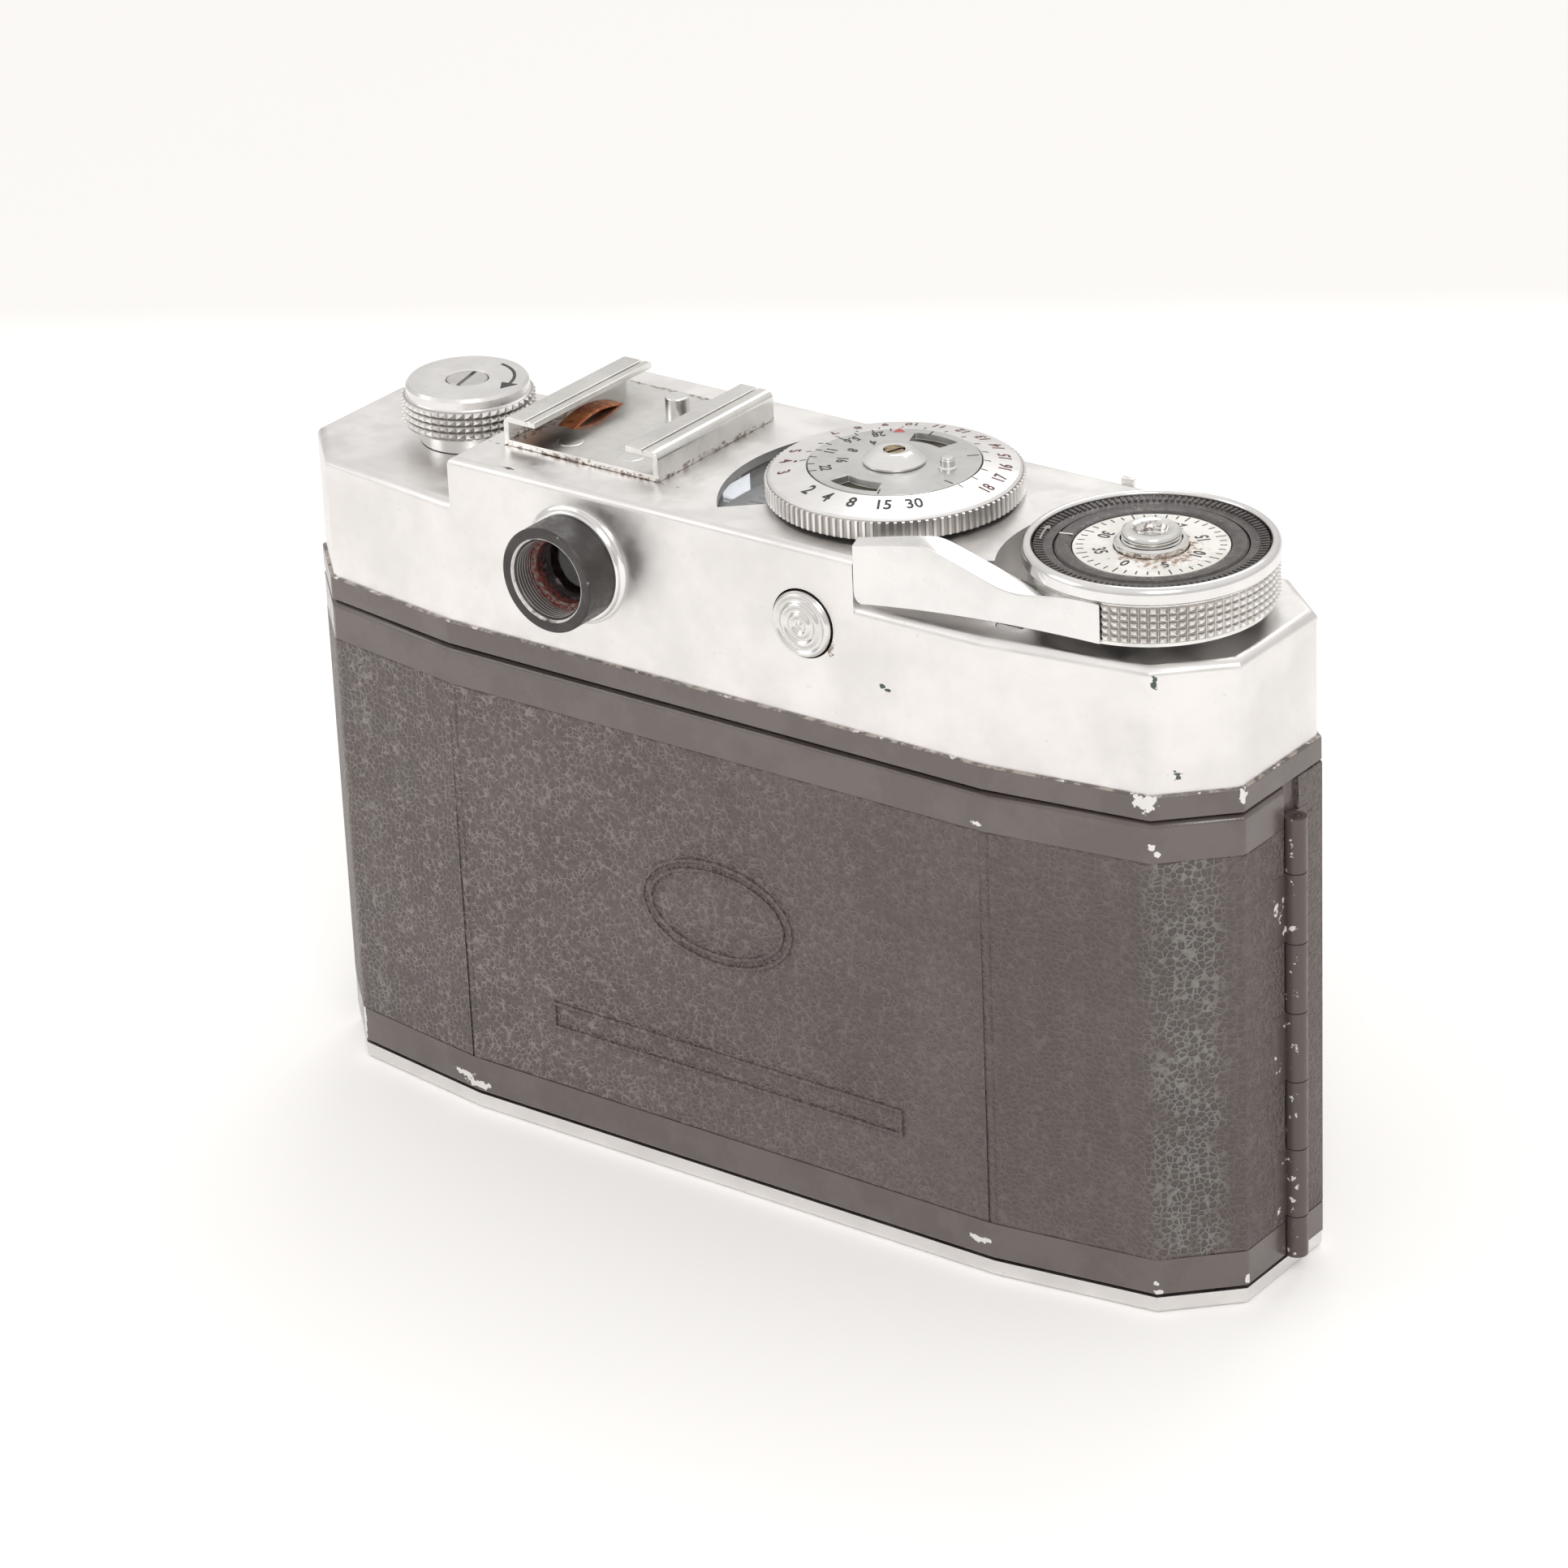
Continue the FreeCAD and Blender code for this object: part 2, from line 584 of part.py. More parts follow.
def release_collar():
    tube_part = tube(3.9, 3.25, RIM_HIGH, 83.6, LEVER)
    return tube_part.fuse(cyl(3.9, RIM_HIGH, RIM_HIGH + 0.8, LEVER))


def release_button():
    head = turned([(0, 74.0), (3.15, 74.0), (3.15, 84.3), (2.8, 84.7), (0, 84.7)], LEVER)
    thread = cyl(CABLE_THREAD_R, 79.7, 99, LEVER)
    return head.fuse(cyl(1.5, 66.0, 74.0, LEVER)).cut(thread)


# ---------------------------------------------------------------------------
# rewind, sprocket and take-up spool
# ---------------------------------------------------------------------------
def rewind_collar():
    sleeve = tube(4.0, 3.0, 66.0, 77.2, REWIND)
    return sleeve.fuse(tube(5.6, 3.0, END_DECK + 0.1, 77.2, REWIND))


def rewind_knob():
    profile = [(0, 77.3), (6.4, 77.3), (KNOB_R, 77.9), (KNOB_R, 81.1), (6.95, 81.3),
               (6.95, KNOB_TOP - 0.4), (6.6, KNOB_TOP), (0, KNOB_TOP)]
    knob = turned(profile, REWIND)
    return knob.cut(cyl(2.4, 70, 99, REWIND))


def rewind_shaft():
    """The shaft through the knob: a slotted head above, a flat key below."""
    x, y = REWIND
    shaft = cyl(3.0 - RUN, 53.0, 77.3, REWIND).fuse(cyl(2.4, 77.3, KNOB_TOP - 0.05, REWIND))
    key = box(x - 2.9, x + 2.9, y - 0.7, y + 0.7, 48.5, 53.0)
    slot = box(x - 0.25, x + 0.25, y - 3.0, y + 3.0, KNOB_TOP - 0.5, 99)
    slot.rotate(V(x, y, 0), V(0, 0, 1), 12)
    return shaft.fuse(key).cut(slot)


def sprocket():
    drum = cyl(4.2, 7.0, 55.0, SPROCKET)
    rims = [cyl(6.05, LENS_Z - 17.5, LENS_Z - 12.5, SPROCKET),
            cyl(6.05, LENS_Z + 12.5, LENS_Z + 17.5, SPROCKET)]
    teeth = []
    for z in (LENS_Z - 15.0, LENS_Z + 15.0):
        for i in range(8):
            tooth = Part.makeCone(0.9, 0.4, 1.3, V(5.8, 0, z), V(1, 0, 0))
            tooth.rotate(V(0, 0, 0), V(0, 0, 1), i * 45 + 22.5)
            tooth.translate(V(SPROCKET[0], SPROCKET[1], 0))
            teeth.append(tooth)
    ends = [cyl(2.5, 55.0, 64.0, SPROCKET), cyl(1.5, 3.0, 7.0, SPROCKET)]
    return drum.fuse(rims + teeth + ends)


def take_up_spool():
    core = cyl(6.5, 6.5, 55.5, TAKEUP)
    flanges = [cyl(11.0, 5.2, 6.5, TAKEUP), cyl(11.0, 55.5, 56.8, TAKEUP)]
    ends = [cyl(3.0, 56.8, 61.0, TAKEUP), cyl(1.5, 3.0, 5.2, TAKEUP)]
    slot = box(TAKEUP[0] - 1.0, TAKEUP[0] + 1.0, TAKEUP[1] - 9, TAKEUP[1] - 2.5, 14, 48)
    return core.fuse(flanges + ends).cut(slot)


def rewind_release():
    """A round button with three turned grooves and a domed middle."""
    y0 = COVER_REAR - 0.9
    profile = [(0, y0), (0.9, y0), (1.15, y0 + 0.3), (1.4, y0 + 0.05), (1.9, y0 + 0.05),
               (2.15, y0 + 0.35), (2.4, y0 + 0.1), (2.85, y0 + 0.1), (3.1, y0 + 0.4),
               (3.3, y0 + 0.2), (3.75, y0 + 0.4), (3.75, -14.6), (0, -14.6)]
    return turned_y(profile, BUTTON_X, BUTTON_Z)


def button_guide():
    """The cup behind the button, standing on the body."""
    cup = collar(4.9, 3.95, -15.2, -9.5, BUTTON_X, BUTTON_Z)
    cup = cup.fuse(rod(4.9, -9.5, -8.9, BUTTON_X, BUTTON_Z))
    clear = cyl(11.0, 60, 80, METER)
    foot = box(BUTTON_X - 2, BUTTON_X + 2, -15.0, -12.4, RIM_HIGH, BUTTON_Z - 4.4)
    return cup.fuse(foot).cut(clear)


# ---------------------------------------------------------------------------
# back door
# ---------------------------------------------------------------------------
LEATHER_LOW, LEATHER_HIGH = 6.6, 53.6


def door_shell():
    outer = prism(0.0, DOOR_LOW, DOOR_HIGH)
    outer = outer.makeFillet(0.7, top_edges(outer, DOOR_HIGH))
    shell = rear_part(outer.cut(prism(DOOR_WALL, 0, 70)))
    skin = prism(-1.0, LEATHER_LOW, LEATHER_HIGH).cut(prism(LEATHER, 0, 70))
    cuts = [rear_part(skin), cyl(BARREL_R + 0.2, 0, 70, HINGE)] + tab_pockets(1, -1)
    inside = -(HALF_LENGTH - DOOR_WALL)
    catch = box(inside - 0.1, inside + 0.3, -6.0, DOOR_EDGE, 28.0, 40.0)
    return shell.cut(cuts).fuse(catch)


def door_leather():
    skin = rear_part(prism(0.0, LEATHER_LOW, LEATHER_HIGH).cut(prism(LEATHER, 0, 70)))
    return skin.cut([cyl(BARREL_R + 0.2, 0, 70, HINGE)] + tab_pockets(1, -1))


def pressure_plate():
    plate = box(-24, 24, -14.2, -13.4, LENS_Z - 15, LENS_Z + 15)
    upright = [e for e in plate.Edges if e.BoundBox.YLength > 0.7 and e.BoundBox.XLength < 0.1
               and e.BoundBox.ZLength < 0.1]
    return plate.makeFillet(3.0, upright)


def pressure_springs():
    """Two bowed leaves between the pressure plate and the door."""
    solids = []
    inner = -(REAR - DOOR_WALL)
    for x in (-13.0, 7.0):
        pts = [(LENS_Z - 12, -14.45), (LENS_Z - 9, -14.5), (LENS_Z, inner + 0.3),
               (LENS_Z + 9, -14.5), (LENS_Z + 12, -14.45)]
        front = [V(x, y + 0.25, z) for z, y in pts]
        back = [V(x, y - 0.05, z) for z, y in reversed(pts)]
        front[2].y, back[2].y = inner + 0.3, inner
        face = Part.Face(Part.makePolygon(front + back + [front[0]]))
        solids.append(face.extrude(V(6.0, 0, 0)))
    return Part.makeCompound(solids)


def door_latch():
    """A ribbed thumb slide on the left end, on a flat stem."""
    plate = box(-63.4, -62.15, 2.2, 5.8, 26.5, 37.5)
    stem = box(-62.2, -58.6, 3.3, 4.7, 28.0, 36.0)
    cuts = [box(-63.6, -63.1, 2.0, 6.0, 28.4 + 1.6 * i, 29.0 + 1.6 * i) for i in range(5)]
    return plate.fuse(stem).cut(cuts)


def hinge_pin():
    return cyl(PIN_R, DOOR_LOW + 0.1, HINGE_TOP - 0.1, HINGE)


# ---------------------------------------------------------------------------
# lens and shutter, on the line x = 0, z = LENS_Z
# ---------------------------------------------------------------------------
BOARD_FRONT = 17.4
HOUSING_R = 24.6
HOUSING_FRONT = 27.0


def lens_board():
    board = collar(BOARD_R - 0.1, 13.0, FRONT - LEATHER, BOARD_FRONT, 0, LENS_Z)
    return board.common(box(-99, 99, 0, 99, 5.6, 57.9))


def shutter_housing():
    profile = [(13.0, 12.6), (13.0, BOARD_FRONT), (HOUSING_R, BOARD_FRONT),
               (HOUSING_R, HOUSING_FRONT - 0.6), (HOUSING_R - 0.6, HOUSING_FRONT),
               (16.8, HOUSING_FRONT), (16.8, 21.4), (10.0, 21.4), (10.0, 12.6)]
    housing = turned_y(profile, 0, LENS_Z)
    return housing.cut(flash_seat())


FLASH_ANGLE = 205.0
FLASH_Y = 24.0
FLASH_R = 2.6


def radial(shape, angle):
    """Turn a shape made along +X from the lens axis to an angle round it."""
    shape.rotate(V(0, 0, 0), V(0, 1, 0), -angle)
    shape.translate(V(0, 0, LENS_Z))
    return shape


def flash_seat():
    return radial(Part.makeCylinder(FLASH_R, 9, V(19.5, FLASH_Y, 0), V(1, 0, 0)), FLASH_ANGLE)


def flash_socket():
    outer = Part.makeCylinder(FLASH_R, 8.4, V(19.5, FLASH_Y, 0), V(1, 0, 0))
    ring = Part.makeCylinder(1.8, 9, V(22.5, FLASH_Y, 0), V(1, 0, 0))
    pin = Part.makeCylinder(0.6, 4.6, V(22.5, FLASH_Y, 0), V(1, 0, 0))
    return radial(outer.cut(ring).fuse(pin), FLASH_ANGLE)


def shutter_blades():
    """Five thin leaves that overlap to close the light path."""
    leaves = []
    for i in range(5):
        y = 21.6 + 0.3 * i
        leaf = sector(0.4, 13.0, 0, 88, 0, 0.2, (0, 0))
        leaf.rotate(V(0, 0, 0), V(1, 0, 0), 90)
        leaf.rotate(V(0, 0, 0), V(0, 1, 0), 72 * i)
        leaf.translate(V(0, y + 0.2, LENS_Z))
        leaves.append(leaf)
    return Part.makeCompound(leaves)


def ring_y(outer, inner, y0, y1):
    bevel = 0.4
    return turned_y([(inner, y0), (outer - bevel, y0), (outer, y0 + bevel), (outer, y1 - bevel),
                     (outer - bevel, y1), (inner, y1)], 0, LENS_Z)


def speed_ring():
    return ring_y(25.4, 16.9, 27.2, 30.6)


def aperture_ring():
    return ring_y(22.6, 16.9, 30.9, 33.8)


def focus_ring():
    ring = ring_y(20.4, 16.9, 34.1, 39.4)
    grip = radial(Part.makeBox(3.6, 3.4, 5.0, V(19.8, 35.1, -2.5)), -90)
    return ring.fuse(grip)


def lens_barrel():
    profile = [(13.2, 23.4), (16.8, 23.4), (16.8, 39.8), (18.4, 39.8), (18.4, 41.6),
               (16.6, 41.6), (12.4, 39.0), (12.4, 36.0), (11.4, 36.0), (11.4, 24.4),
               (13.2, 24.4)]
    return turned_y(profile, 0, LENS_Z)


def lens_front_element():
    profile = [(0, 36.2), (12.4, 36.2), (12.4, 37.2), (9.0, 38.1), (5.0, 38.7), (0, 38.9)]
    return turned_y(profile, 0, LENS_Z)


def lens_rear_element():
    profile = [(0, 13.2), (6.0, 13.6), (10.0, 14.6), (10.0, 17.2), (0, 17.2)]
    return turned_y(profile, 0, LENS_Z)


TIMER_ANGLE = 60.0


def timer_lever():
    ring = collar(26.4, HOUSING_R + 0.3, 19.2, 20.6, 0, LENS_Z)
    tab = radial(Part.makeBox(3.6, 2.6, 4.0, V(26.0, 18.6, -2.0)), TIMER_ANGLE)
    return ring.fuse(tab)


NODES = [
    body_casting, film_gate, front_leather, base_plate, tripod_bush, slotted_screws,
    top_cover, accessory_shoe, shoe_spring, shoe_rivets,
    eyepiece_flange, eyepiece_ring, eyepiece_lens, finder_tube, beam_splitter,
    finder_windows, window_bezels, range_mirror,
    meter_cell_window, meter_cell, meter_movement, meter_scale, meter_glass, meter_needle,
    meter_post, meter_ring, meter_disc,
    advance_lever, dial_rim, index_ring, reminder_ring, counter_dial,
    release_collar, release_button, rewind_collar, rewind_knob, rewind_shaft,
    sprocket, take_up_spool, rewind_release, button_guide,
    door_shell, door_leather, pressure_plate, pressure_springs,
    hinge_body_leaf, hinge_door_leaf, hinge_pin, door_latch,
    lens_board, shutter_housing, flash_socket, shutter_blades, speed_ring, aperture_ring,
    focus_ring, lens_barrel, lens_front_element, lens_rear_element, timer_lever,
]

if __name__ == "__main__":
    os.makedirs("parts", exist_ok=True)
    for make in NODES:
        save(make.__name__, make())
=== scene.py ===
import math

import bpy
from mathutils import Matrix, Vector


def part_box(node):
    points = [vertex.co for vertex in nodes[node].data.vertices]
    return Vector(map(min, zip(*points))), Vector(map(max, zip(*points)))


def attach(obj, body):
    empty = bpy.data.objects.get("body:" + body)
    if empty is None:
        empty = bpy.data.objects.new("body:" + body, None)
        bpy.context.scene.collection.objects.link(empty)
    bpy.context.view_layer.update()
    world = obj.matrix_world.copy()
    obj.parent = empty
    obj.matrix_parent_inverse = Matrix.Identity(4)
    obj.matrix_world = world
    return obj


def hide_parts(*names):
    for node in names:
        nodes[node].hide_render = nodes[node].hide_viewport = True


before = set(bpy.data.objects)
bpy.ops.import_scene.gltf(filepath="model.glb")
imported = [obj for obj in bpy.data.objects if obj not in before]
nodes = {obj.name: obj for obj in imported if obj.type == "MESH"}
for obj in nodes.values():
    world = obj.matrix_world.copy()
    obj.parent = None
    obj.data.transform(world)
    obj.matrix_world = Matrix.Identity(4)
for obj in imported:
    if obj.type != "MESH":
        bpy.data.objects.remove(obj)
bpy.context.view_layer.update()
MM = 0.001
bpy.ops.object.select_all(action="DESELECT")

# ---------------------------------------------------------------------------
# Floor, light and camera.
# A sheet of white paper that turns pale grey towards the back, a white room,
# and three soft lamps: a key on the right, a low fill on the left, one behind.
# ---------------------------------------------------------------------------
FLOOR_SIZE = 6.0
PAPER_TURN = math.radians(32.8)      # the grey part of the paper starts along this line
PAPER_LINE = 0.246                   # and this far from the camera body
PAPER_GLOW = 0.10                    # lifts the soft shadows, as light through the sheet does
ROOM_WALLS, ROOM_CEILING = (0.68, 0.665, 0.65), (0.93, 0.915, 0.90)
ROOM_LIGHT = 1.02
LAMPS = [("key_lamp", (0.75, -0.75, 1.1), 0.55, 5.6), ("fill_lamp", (-1.1, -0.9, 0.7), 0.8, 2.3),
         ("back_lamp", (-0.3, 0.9, 1.2), 0.7, 3.2)]
LAMP_AIM = (0, 0, 0.04)
CAMERA_PLACE = (0.36463, -0.48155, 0.32989)
CAMERA_TURN = (64.595, 2.239, 36.309)
CAMERA_LENS = 139.01


def node(tree, kind, **values):
    """Add a shader node and set its fields and its inputs by name."""
    made = tree.nodes.new(kind)
    for key, value in values.items():
        if key in made.inputs:
            made.inputs[key].default_value = value
        else:
            setattr(made, key, value)
    return made


def blank_material(name):
    material = bpy.data.materials.new(name)
    material.use_nodes = True
    tree = material.node_tree
    return material, tree, tree.nodes["Principled BSDF"]


def texture(tree, kind, vector, **values):
    """A texture node fed by a vector."""
    made = node(tree, "ShaderNodeTex" + kind, **values)
    tree.links.new(vector, made.inputs["Vector"])
    return made


def object_mm(tree):
    """Object coordinates in millimetres."""
    coords = node(tree, "ShaderNodeTexCoord")
    scale = node(tree, "ShaderNodeMapping", Scale=(1 / MM, 1 / MM, 1 / MM))
    tree.links.new(coords.outputs["Object"], scale.inputs["Vector"])
    return scale.outputs["Vector"]


def ramp(tree, value, low, high, to_low=0.0, to_high=1.0):
    """A smooth step of a value between low and high."""
    step = node(tree, "ShaderNodeMapRange", interpolation_type="SMOOTHSTEP")
    for index, number in ((1, low), (2, high), (3, to_low), (4, to_high)):
        step.inputs[index].default_value = number
    tree.links.new(value, step.inputs["Value"])
    return step.outputs["Result"]


def arithmetic(tree, operation, a, b):
    made = node(tree, "ShaderNodeMath", operation=operation)
    for socket, value in zip(made.inputs, (a, b)):
        if isinstance(value, bpy.types.NodeSocket):
            tree.links.new(value, socket)
        elif value is not None:
            socket.default_value = value
    return made.outputs[0]


def times(tree, a, b):
    return arithmetic(tree, "MULTIPLY", a, b)


def larger(tree, a, b):
    return arithmetic(tree, "MAXIMUM", a, b)


def axes(tree, vector):
    """The X, Y and Z of a vector, by name."""
    split = node(tree, "ShaderNodeSeparateXYZ")
    tree.links.new(vector, split.inputs[0])
    return split.outputs


def uneven(tree, place, low, high, *blotches):
    """A roughness between low and high, in blotches of the given scale and levels."""
    return ramp(tree, mottle(tree, place, *blotches), 0.0, 1.0, low, high)


def coat(tree, surface, colour, rough):
    """Give a surface its colour and its roughness."""
    tree.links.new(colour, surface.inputs["Base Color"])
    tree.links.new(rough, surface.inputs["Roughness"])


def blend_colour(tree, mask, under, over):
    """Over laid on under where the mask is 1; each is a colour or a socket."""
    made = node(tree, "ShaderNodeMix", data_type="RGBA")
    for socket, value in ((made.inputs[0], mask), (made.inputs[6], under), (made.inputs[7], over)):
        if isinstance(value, bpy.types.NodeSocket):
            tree.links.new(value, socket)
        else:
            socket.default_value = value if isinstance(value, float) else (*value, 1.0)
    return made.outputs[2]


def paper():
    """White paper, pale grey beyond a line behind the camera body."""
    material, tree, surface = blank_material("paper")
    surface.inputs["Roughness"].default_value = 0.9
    coords = node(tree, "ShaderNodeTexCoord")
    turn = node(tree, "ShaderNodeMapping", Rotation=(0, 0, -PAPER_TURN))
    tree.links.new(coords.outputs["Object"], turn.inputs["Vector"])
    beyond = ramp(tree, axes(tree, turn.outputs["Vector"])["Y"], PAPER_LINE - 0.006, PAPER_LINE + 0.02)
    colour = blend_colour(tree, beyond, (0.90, 0.89, 0.88), (0.76, 0.75, 0.735))
    tree.links.new(colour, surface.inputs["Base Color"])
    tree.links.new(colour, surface.inputs["Emission Color"])
    surface.inputs["Emission Strength"].default_value = PAPER_GLOW
    return material


def soft_lamp(name, place, aim, width, power):
    bpy.ops.object.light_add(type="AREA", location=place)
    lamp = bpy.context.object
    lamp.name = name
    lamp.data.shape = "SQUARE"
    lamp.data.size = width
    lamp.data.energy = power
    lamp.rotation_euler = (Vector(aim) - Vector(place)).to_track_quat("-Z", "Y").to_euler()


bpy.ops.mesh.primitive_plane_add(size=FLOOR_SIZE, location=(0, 0, 0))
floor = bpy.context.object
floor.name = "floor"
floor.data.materials.append(paper())

world = bpy.data.worlds.new("studio")
bpy.context.scene.world = world
world.use_nodes = True
sky = world.node_tree
sky_coords = node(sky, "ShaderNodeTexCoord")
overhead = ramp(sky, axes(sky, sky_coords.outputs["Generated"])["Z"], -0.1, 0.9)
sky_colour = blend_colour(sky, overhead, ROOM_WALLS, ROOM_CEILING)
sky.links.new(sky_colour, sky.nodes["Background"].inputs["Color"])
sky.nodes["Background"].inputs["Strength"].default_value = ROOM_LIGHT

for lamp_name, lamp_place, lamp_width, lamp_power in LAMPS:
    soft_lamp(lamp_name, lamp_place, LAMP_AIM, lamp_width, lamp_power)

bpy.ops.object.camera_add(location=CAMERA_PLACE,
                          rotation=[math.radians(a) for a in CAMERA_TURN])
camera = bpy.context.object
camera.data.sensor_width = 36.0
camera.data.lens = CAMERA_LENS
camera.data.clip_start = 0.01
bpy.context.scene.camera = camera
bpy.context.scene.view_settings.view_transform = "Standard"

# ---------------------------------------------------------------------------
# Body casting.
# The die-cast alloy frame that everything is screwed to, stove-enamelled
# black. Only the rim under the top cover shows, and its edge is worn.
# ---------------------------------------------------------------------------
EDGE_ANGLE = math.radians(32)


def work_on(piece):
    """Make piece the only selected object."""
    bpy.ops.object.select_all(action="DESELECT")
    piece.select_set(True)
    bpy.context.view_layer.objects.active = piece


def pick(piece, kind, test):
    """Go into edit mode with only what passes the test selected. A vertex is tested
    by its place, an edge by its two ends, and a face by its centre and normal."""
    if bpy.context.mode != "OBJECT":
        bpy.ops.object.mode_set(mode="OBJECT")
    mesh = piece.data
    for parts in (mesh.vertices, mesh.edges, mesh.polygons):
        parts.foreach_set("select", [False] * len(parts))
    spot = [v.co / MM for v in mesh.vertices]
    if kind == "VERT":
        for vertex in mesh.vertices:
            vertex.select = test(spot[vertex.index])
    elif kind == "EDGE":
        for edge in mesh.edges:
            edge.select = test(spot[edge.vertices[0]], spot[edge.vertices[1]])
    else:
        for face in mesh.polygons:
            face.select = test(face.center / MM, face.normal)
    settings = bpy.context.tool_settings
    settings.mesh_select_mode = (kind == "VERT", kind == "EDGE", kind == "FACE")
    bpy.ops.object.mode_set(mode="EDIT")


def bench_copy(source, name):
    """A copy of a node's mesh to work on, its triangles merged into plain faces."""
    piece = bpy.data.objects.new(name, nodes[source].data.copy())
    bpy.context.collection.objects.link(piece)
    work_on(piece)
    bpy.ops.mesh.customdata_custom_splitnormals_clear()
    bpy.ops.object.mode_set(mode="EDIT")
    bpy.ops.mesh.select_all(action="SELECT")
    bpy.ops.mesh.remove_doubles(threshold=0.001 * MM)
    bpy.ops.mesh.dissolve_limited(angle_limit=math.radians(0.3))
    bpy.ops.object.mode_set(mode="OBJECT")
    return piece


def round_edges(piece, width, test, segments=3):
    """Bevel the edges whose two ends pass the test."""
    pick(piece, "EDGE", test)
    bpy.ops.mesh.bevel(offset=width * MM, segments=segments, clamp_overlap=False)
    bpy.ops.object.mode_set(mode="OBJECT")


def smooth(piece, angle=EDGE_ANGLE):
    """Shade smooth up to an angle, with flat faces kept flat."""
    work_on(piece)
    bpy.ops.object.shade_smooth_by_angle(angle=angle)
    weighted = piece.modifiers.new("flat_faces", "WEIGHTED_NORMAL")
    weighted.keep_sharp = True
    bpy.ops.object.modifier_apply(modifier=weighted.name)


def soften(piece, width, segments=2, angle=EDGE_ANGLE):
    """Round every sharp edge of a piece and shade the rest smooth."""
    work_on(piece)
    bevel = piece.modifiers.new("rounding", "BEVEL")
    bevel.width = width * MM
    bevel.segments = segments
    bevel.limit_method = "ANGLE"
    bevel.angle_limit = angle
    bpy.ops.object.modifier_apply(modifier=bevel.name)
    smooth(piece, math.radians(50))


def fit(piece, material, body, slot, *stands_for):
    """Finish a piece: its material, the body it rides on, and what it replaces."""
    piece.data.materials.clear()
    piece.data.materials.append(material)
    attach(piece, body)
    if stands_for:
        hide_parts(*stands_for)
    return piece


def dress(material, *names):
    """Give CAD nodes that stay as they are their material."""
    for name in names:
        if not nodes[name].material_slots:
            nodes[name].data.materials.append(material)
        for place in nodes[name].material_slots:
            place.material = material


def new_group(name, inputs, outputs):
    """A shader node group with float inputs, a Vector input and float outputs."""
    tree = bpy.data.node_groups.new(name, "ShaderNodeTree")
    tree.interface.new_socket("Vector", in_out="INPUT", socket_type="NodeSocketVector")
    for label, value in inputs:
        kind = "NodeSocketVector" if isinstance(value, tuple) else "NodeSocketFloat"
        socket = tree.interface.new_socket(label, in_out="INPUT", socket_type=kind)
        socket.default_value = value
    for label in outputs:
        tree.interface.new_socket(label, in_out="OUTPUT", socket_type="NodeSocketFloat")
    return tree, tree.nodes.new("NodeGroupInput"), tree.nodes.new("NodeGroupOutput")


def make_mottle():
    """Soft blotches: noise between two levels, sized in millimetres."""
    tree, given, result = new_group(
        "mottle", [("Scale", 1.0), ("Low", 0.4), ("High", 0.6)], ["Mask"])
    noise = texture(tree, "Noise", given.outputs["Vector"], Detail=4.0, Roughness=0.6)
    tree.links.new(given.outputs["Scale"], noise.inputs["Scale"])
    step = node(tree, "ShaderNodeMapRange", interpolation_type="SMOOTHSTEP")
    tree.links.new(noise.outputs["Fac"], step.inputs["Value"])
    tree.links.new(given.outputs["Low"], step.inputs[1])
    tree.links.new(given.outputs["High"], step.inputs[2])
    tree.links.new(step.outputs[0], result.inputs["Mask"])
    return tree


def make_patch():
    """A ragged patch of a given size round a given place."""
    tree, given, result = new_group(
        "patch", [("Place", (0.0, 0.0, 0.0)), ("Size", (1.0, 1.0, 1.0)), ("Ragged", 0.6)],
        ["Mask"])
    offset = node(tree, "ShaderNodeVectorMath", operation="SUBTRACT")
    shrink = node(tree, "ShaderNodeVectorMath", operation="DIVIDE")
    length = node(tree, "ShaderNodeVectorMath", operation="LENGTH")
    tree.links.new(given.outputs["Vector"], offset.inputs[0])
    tree.links.new(given.outputs["Place"], offset.inputs[1])
    tree.links.new(offset.outputs[0], shrink.inputs[0])
    tree.links.new(given.outputs["Size"], shrink.inputs[1])
    tree.links.new(shrink.outputs[0], length.inputs[0])
    noise = texture(tree, "Noise", given.outputs["Vector"], Scale=1.7, Detail=3.0)
    centred = arithmetic(tree, "SUBTRACT", noise.outputs["Fac"], 0.5)
    ragged = times(tree, centred, given.outputs["Ragged"])
    ragged = times(tree, ragged, 4.0)
    reach = arithmetic(tree, "ADD", length.outputs["Value"], ragged)
    tree.links.new(ramp(tree, reach, 0.8, 1.0, 1.0, 0.0), result.inputs["Mask"])
    return tree


MOTTLE = make_mottle()
PATCH = make_patch()


def mottle(tree, place, scale, low=0.4, high=0.6):
    made = node(tree, "ShaderNodeGroup", node_tree=MOTTLE)
    for label, value in (("Scale", scale), ("Low", low), ("High", high)):
        made.inputs[label].default_value = value
    tree.links.new(place, made.inputs["Vector"])
    return made.outputs["Mask"]


def patches(tree, place, spots, ragged=0.6):
    """One mask for several ragged patches, each (place, size) in millimetres."""
    mask = None
    for centre, size in spots:
        made = node(tree, "ShaderNodeGroup", node_tree=PATCH)
        made.inputs["Place"].default_value = centre
        made.inputs["Size"].default_value = size
        made.inputs["Ragged"].default_value = ragged
        tree.links.new(place, made.inputs["Vector"])
        one = made.outputs["Mask"]
        mask = one if mask is None else larger(tree, mask, one)
    return mask


def bump(tree, surface, height, strength, distance):
    """Feed a height to the surface's normal; distance is its depth in millimetres."""
    made = node(tree, "ShaderNodeBump", Strength=strength, Distance=distance * MM)
    tree.links.new(height, made.inputs["Height"])
    tree.links.new(made.outputs["Normal"], surface.inputs["Normal"])


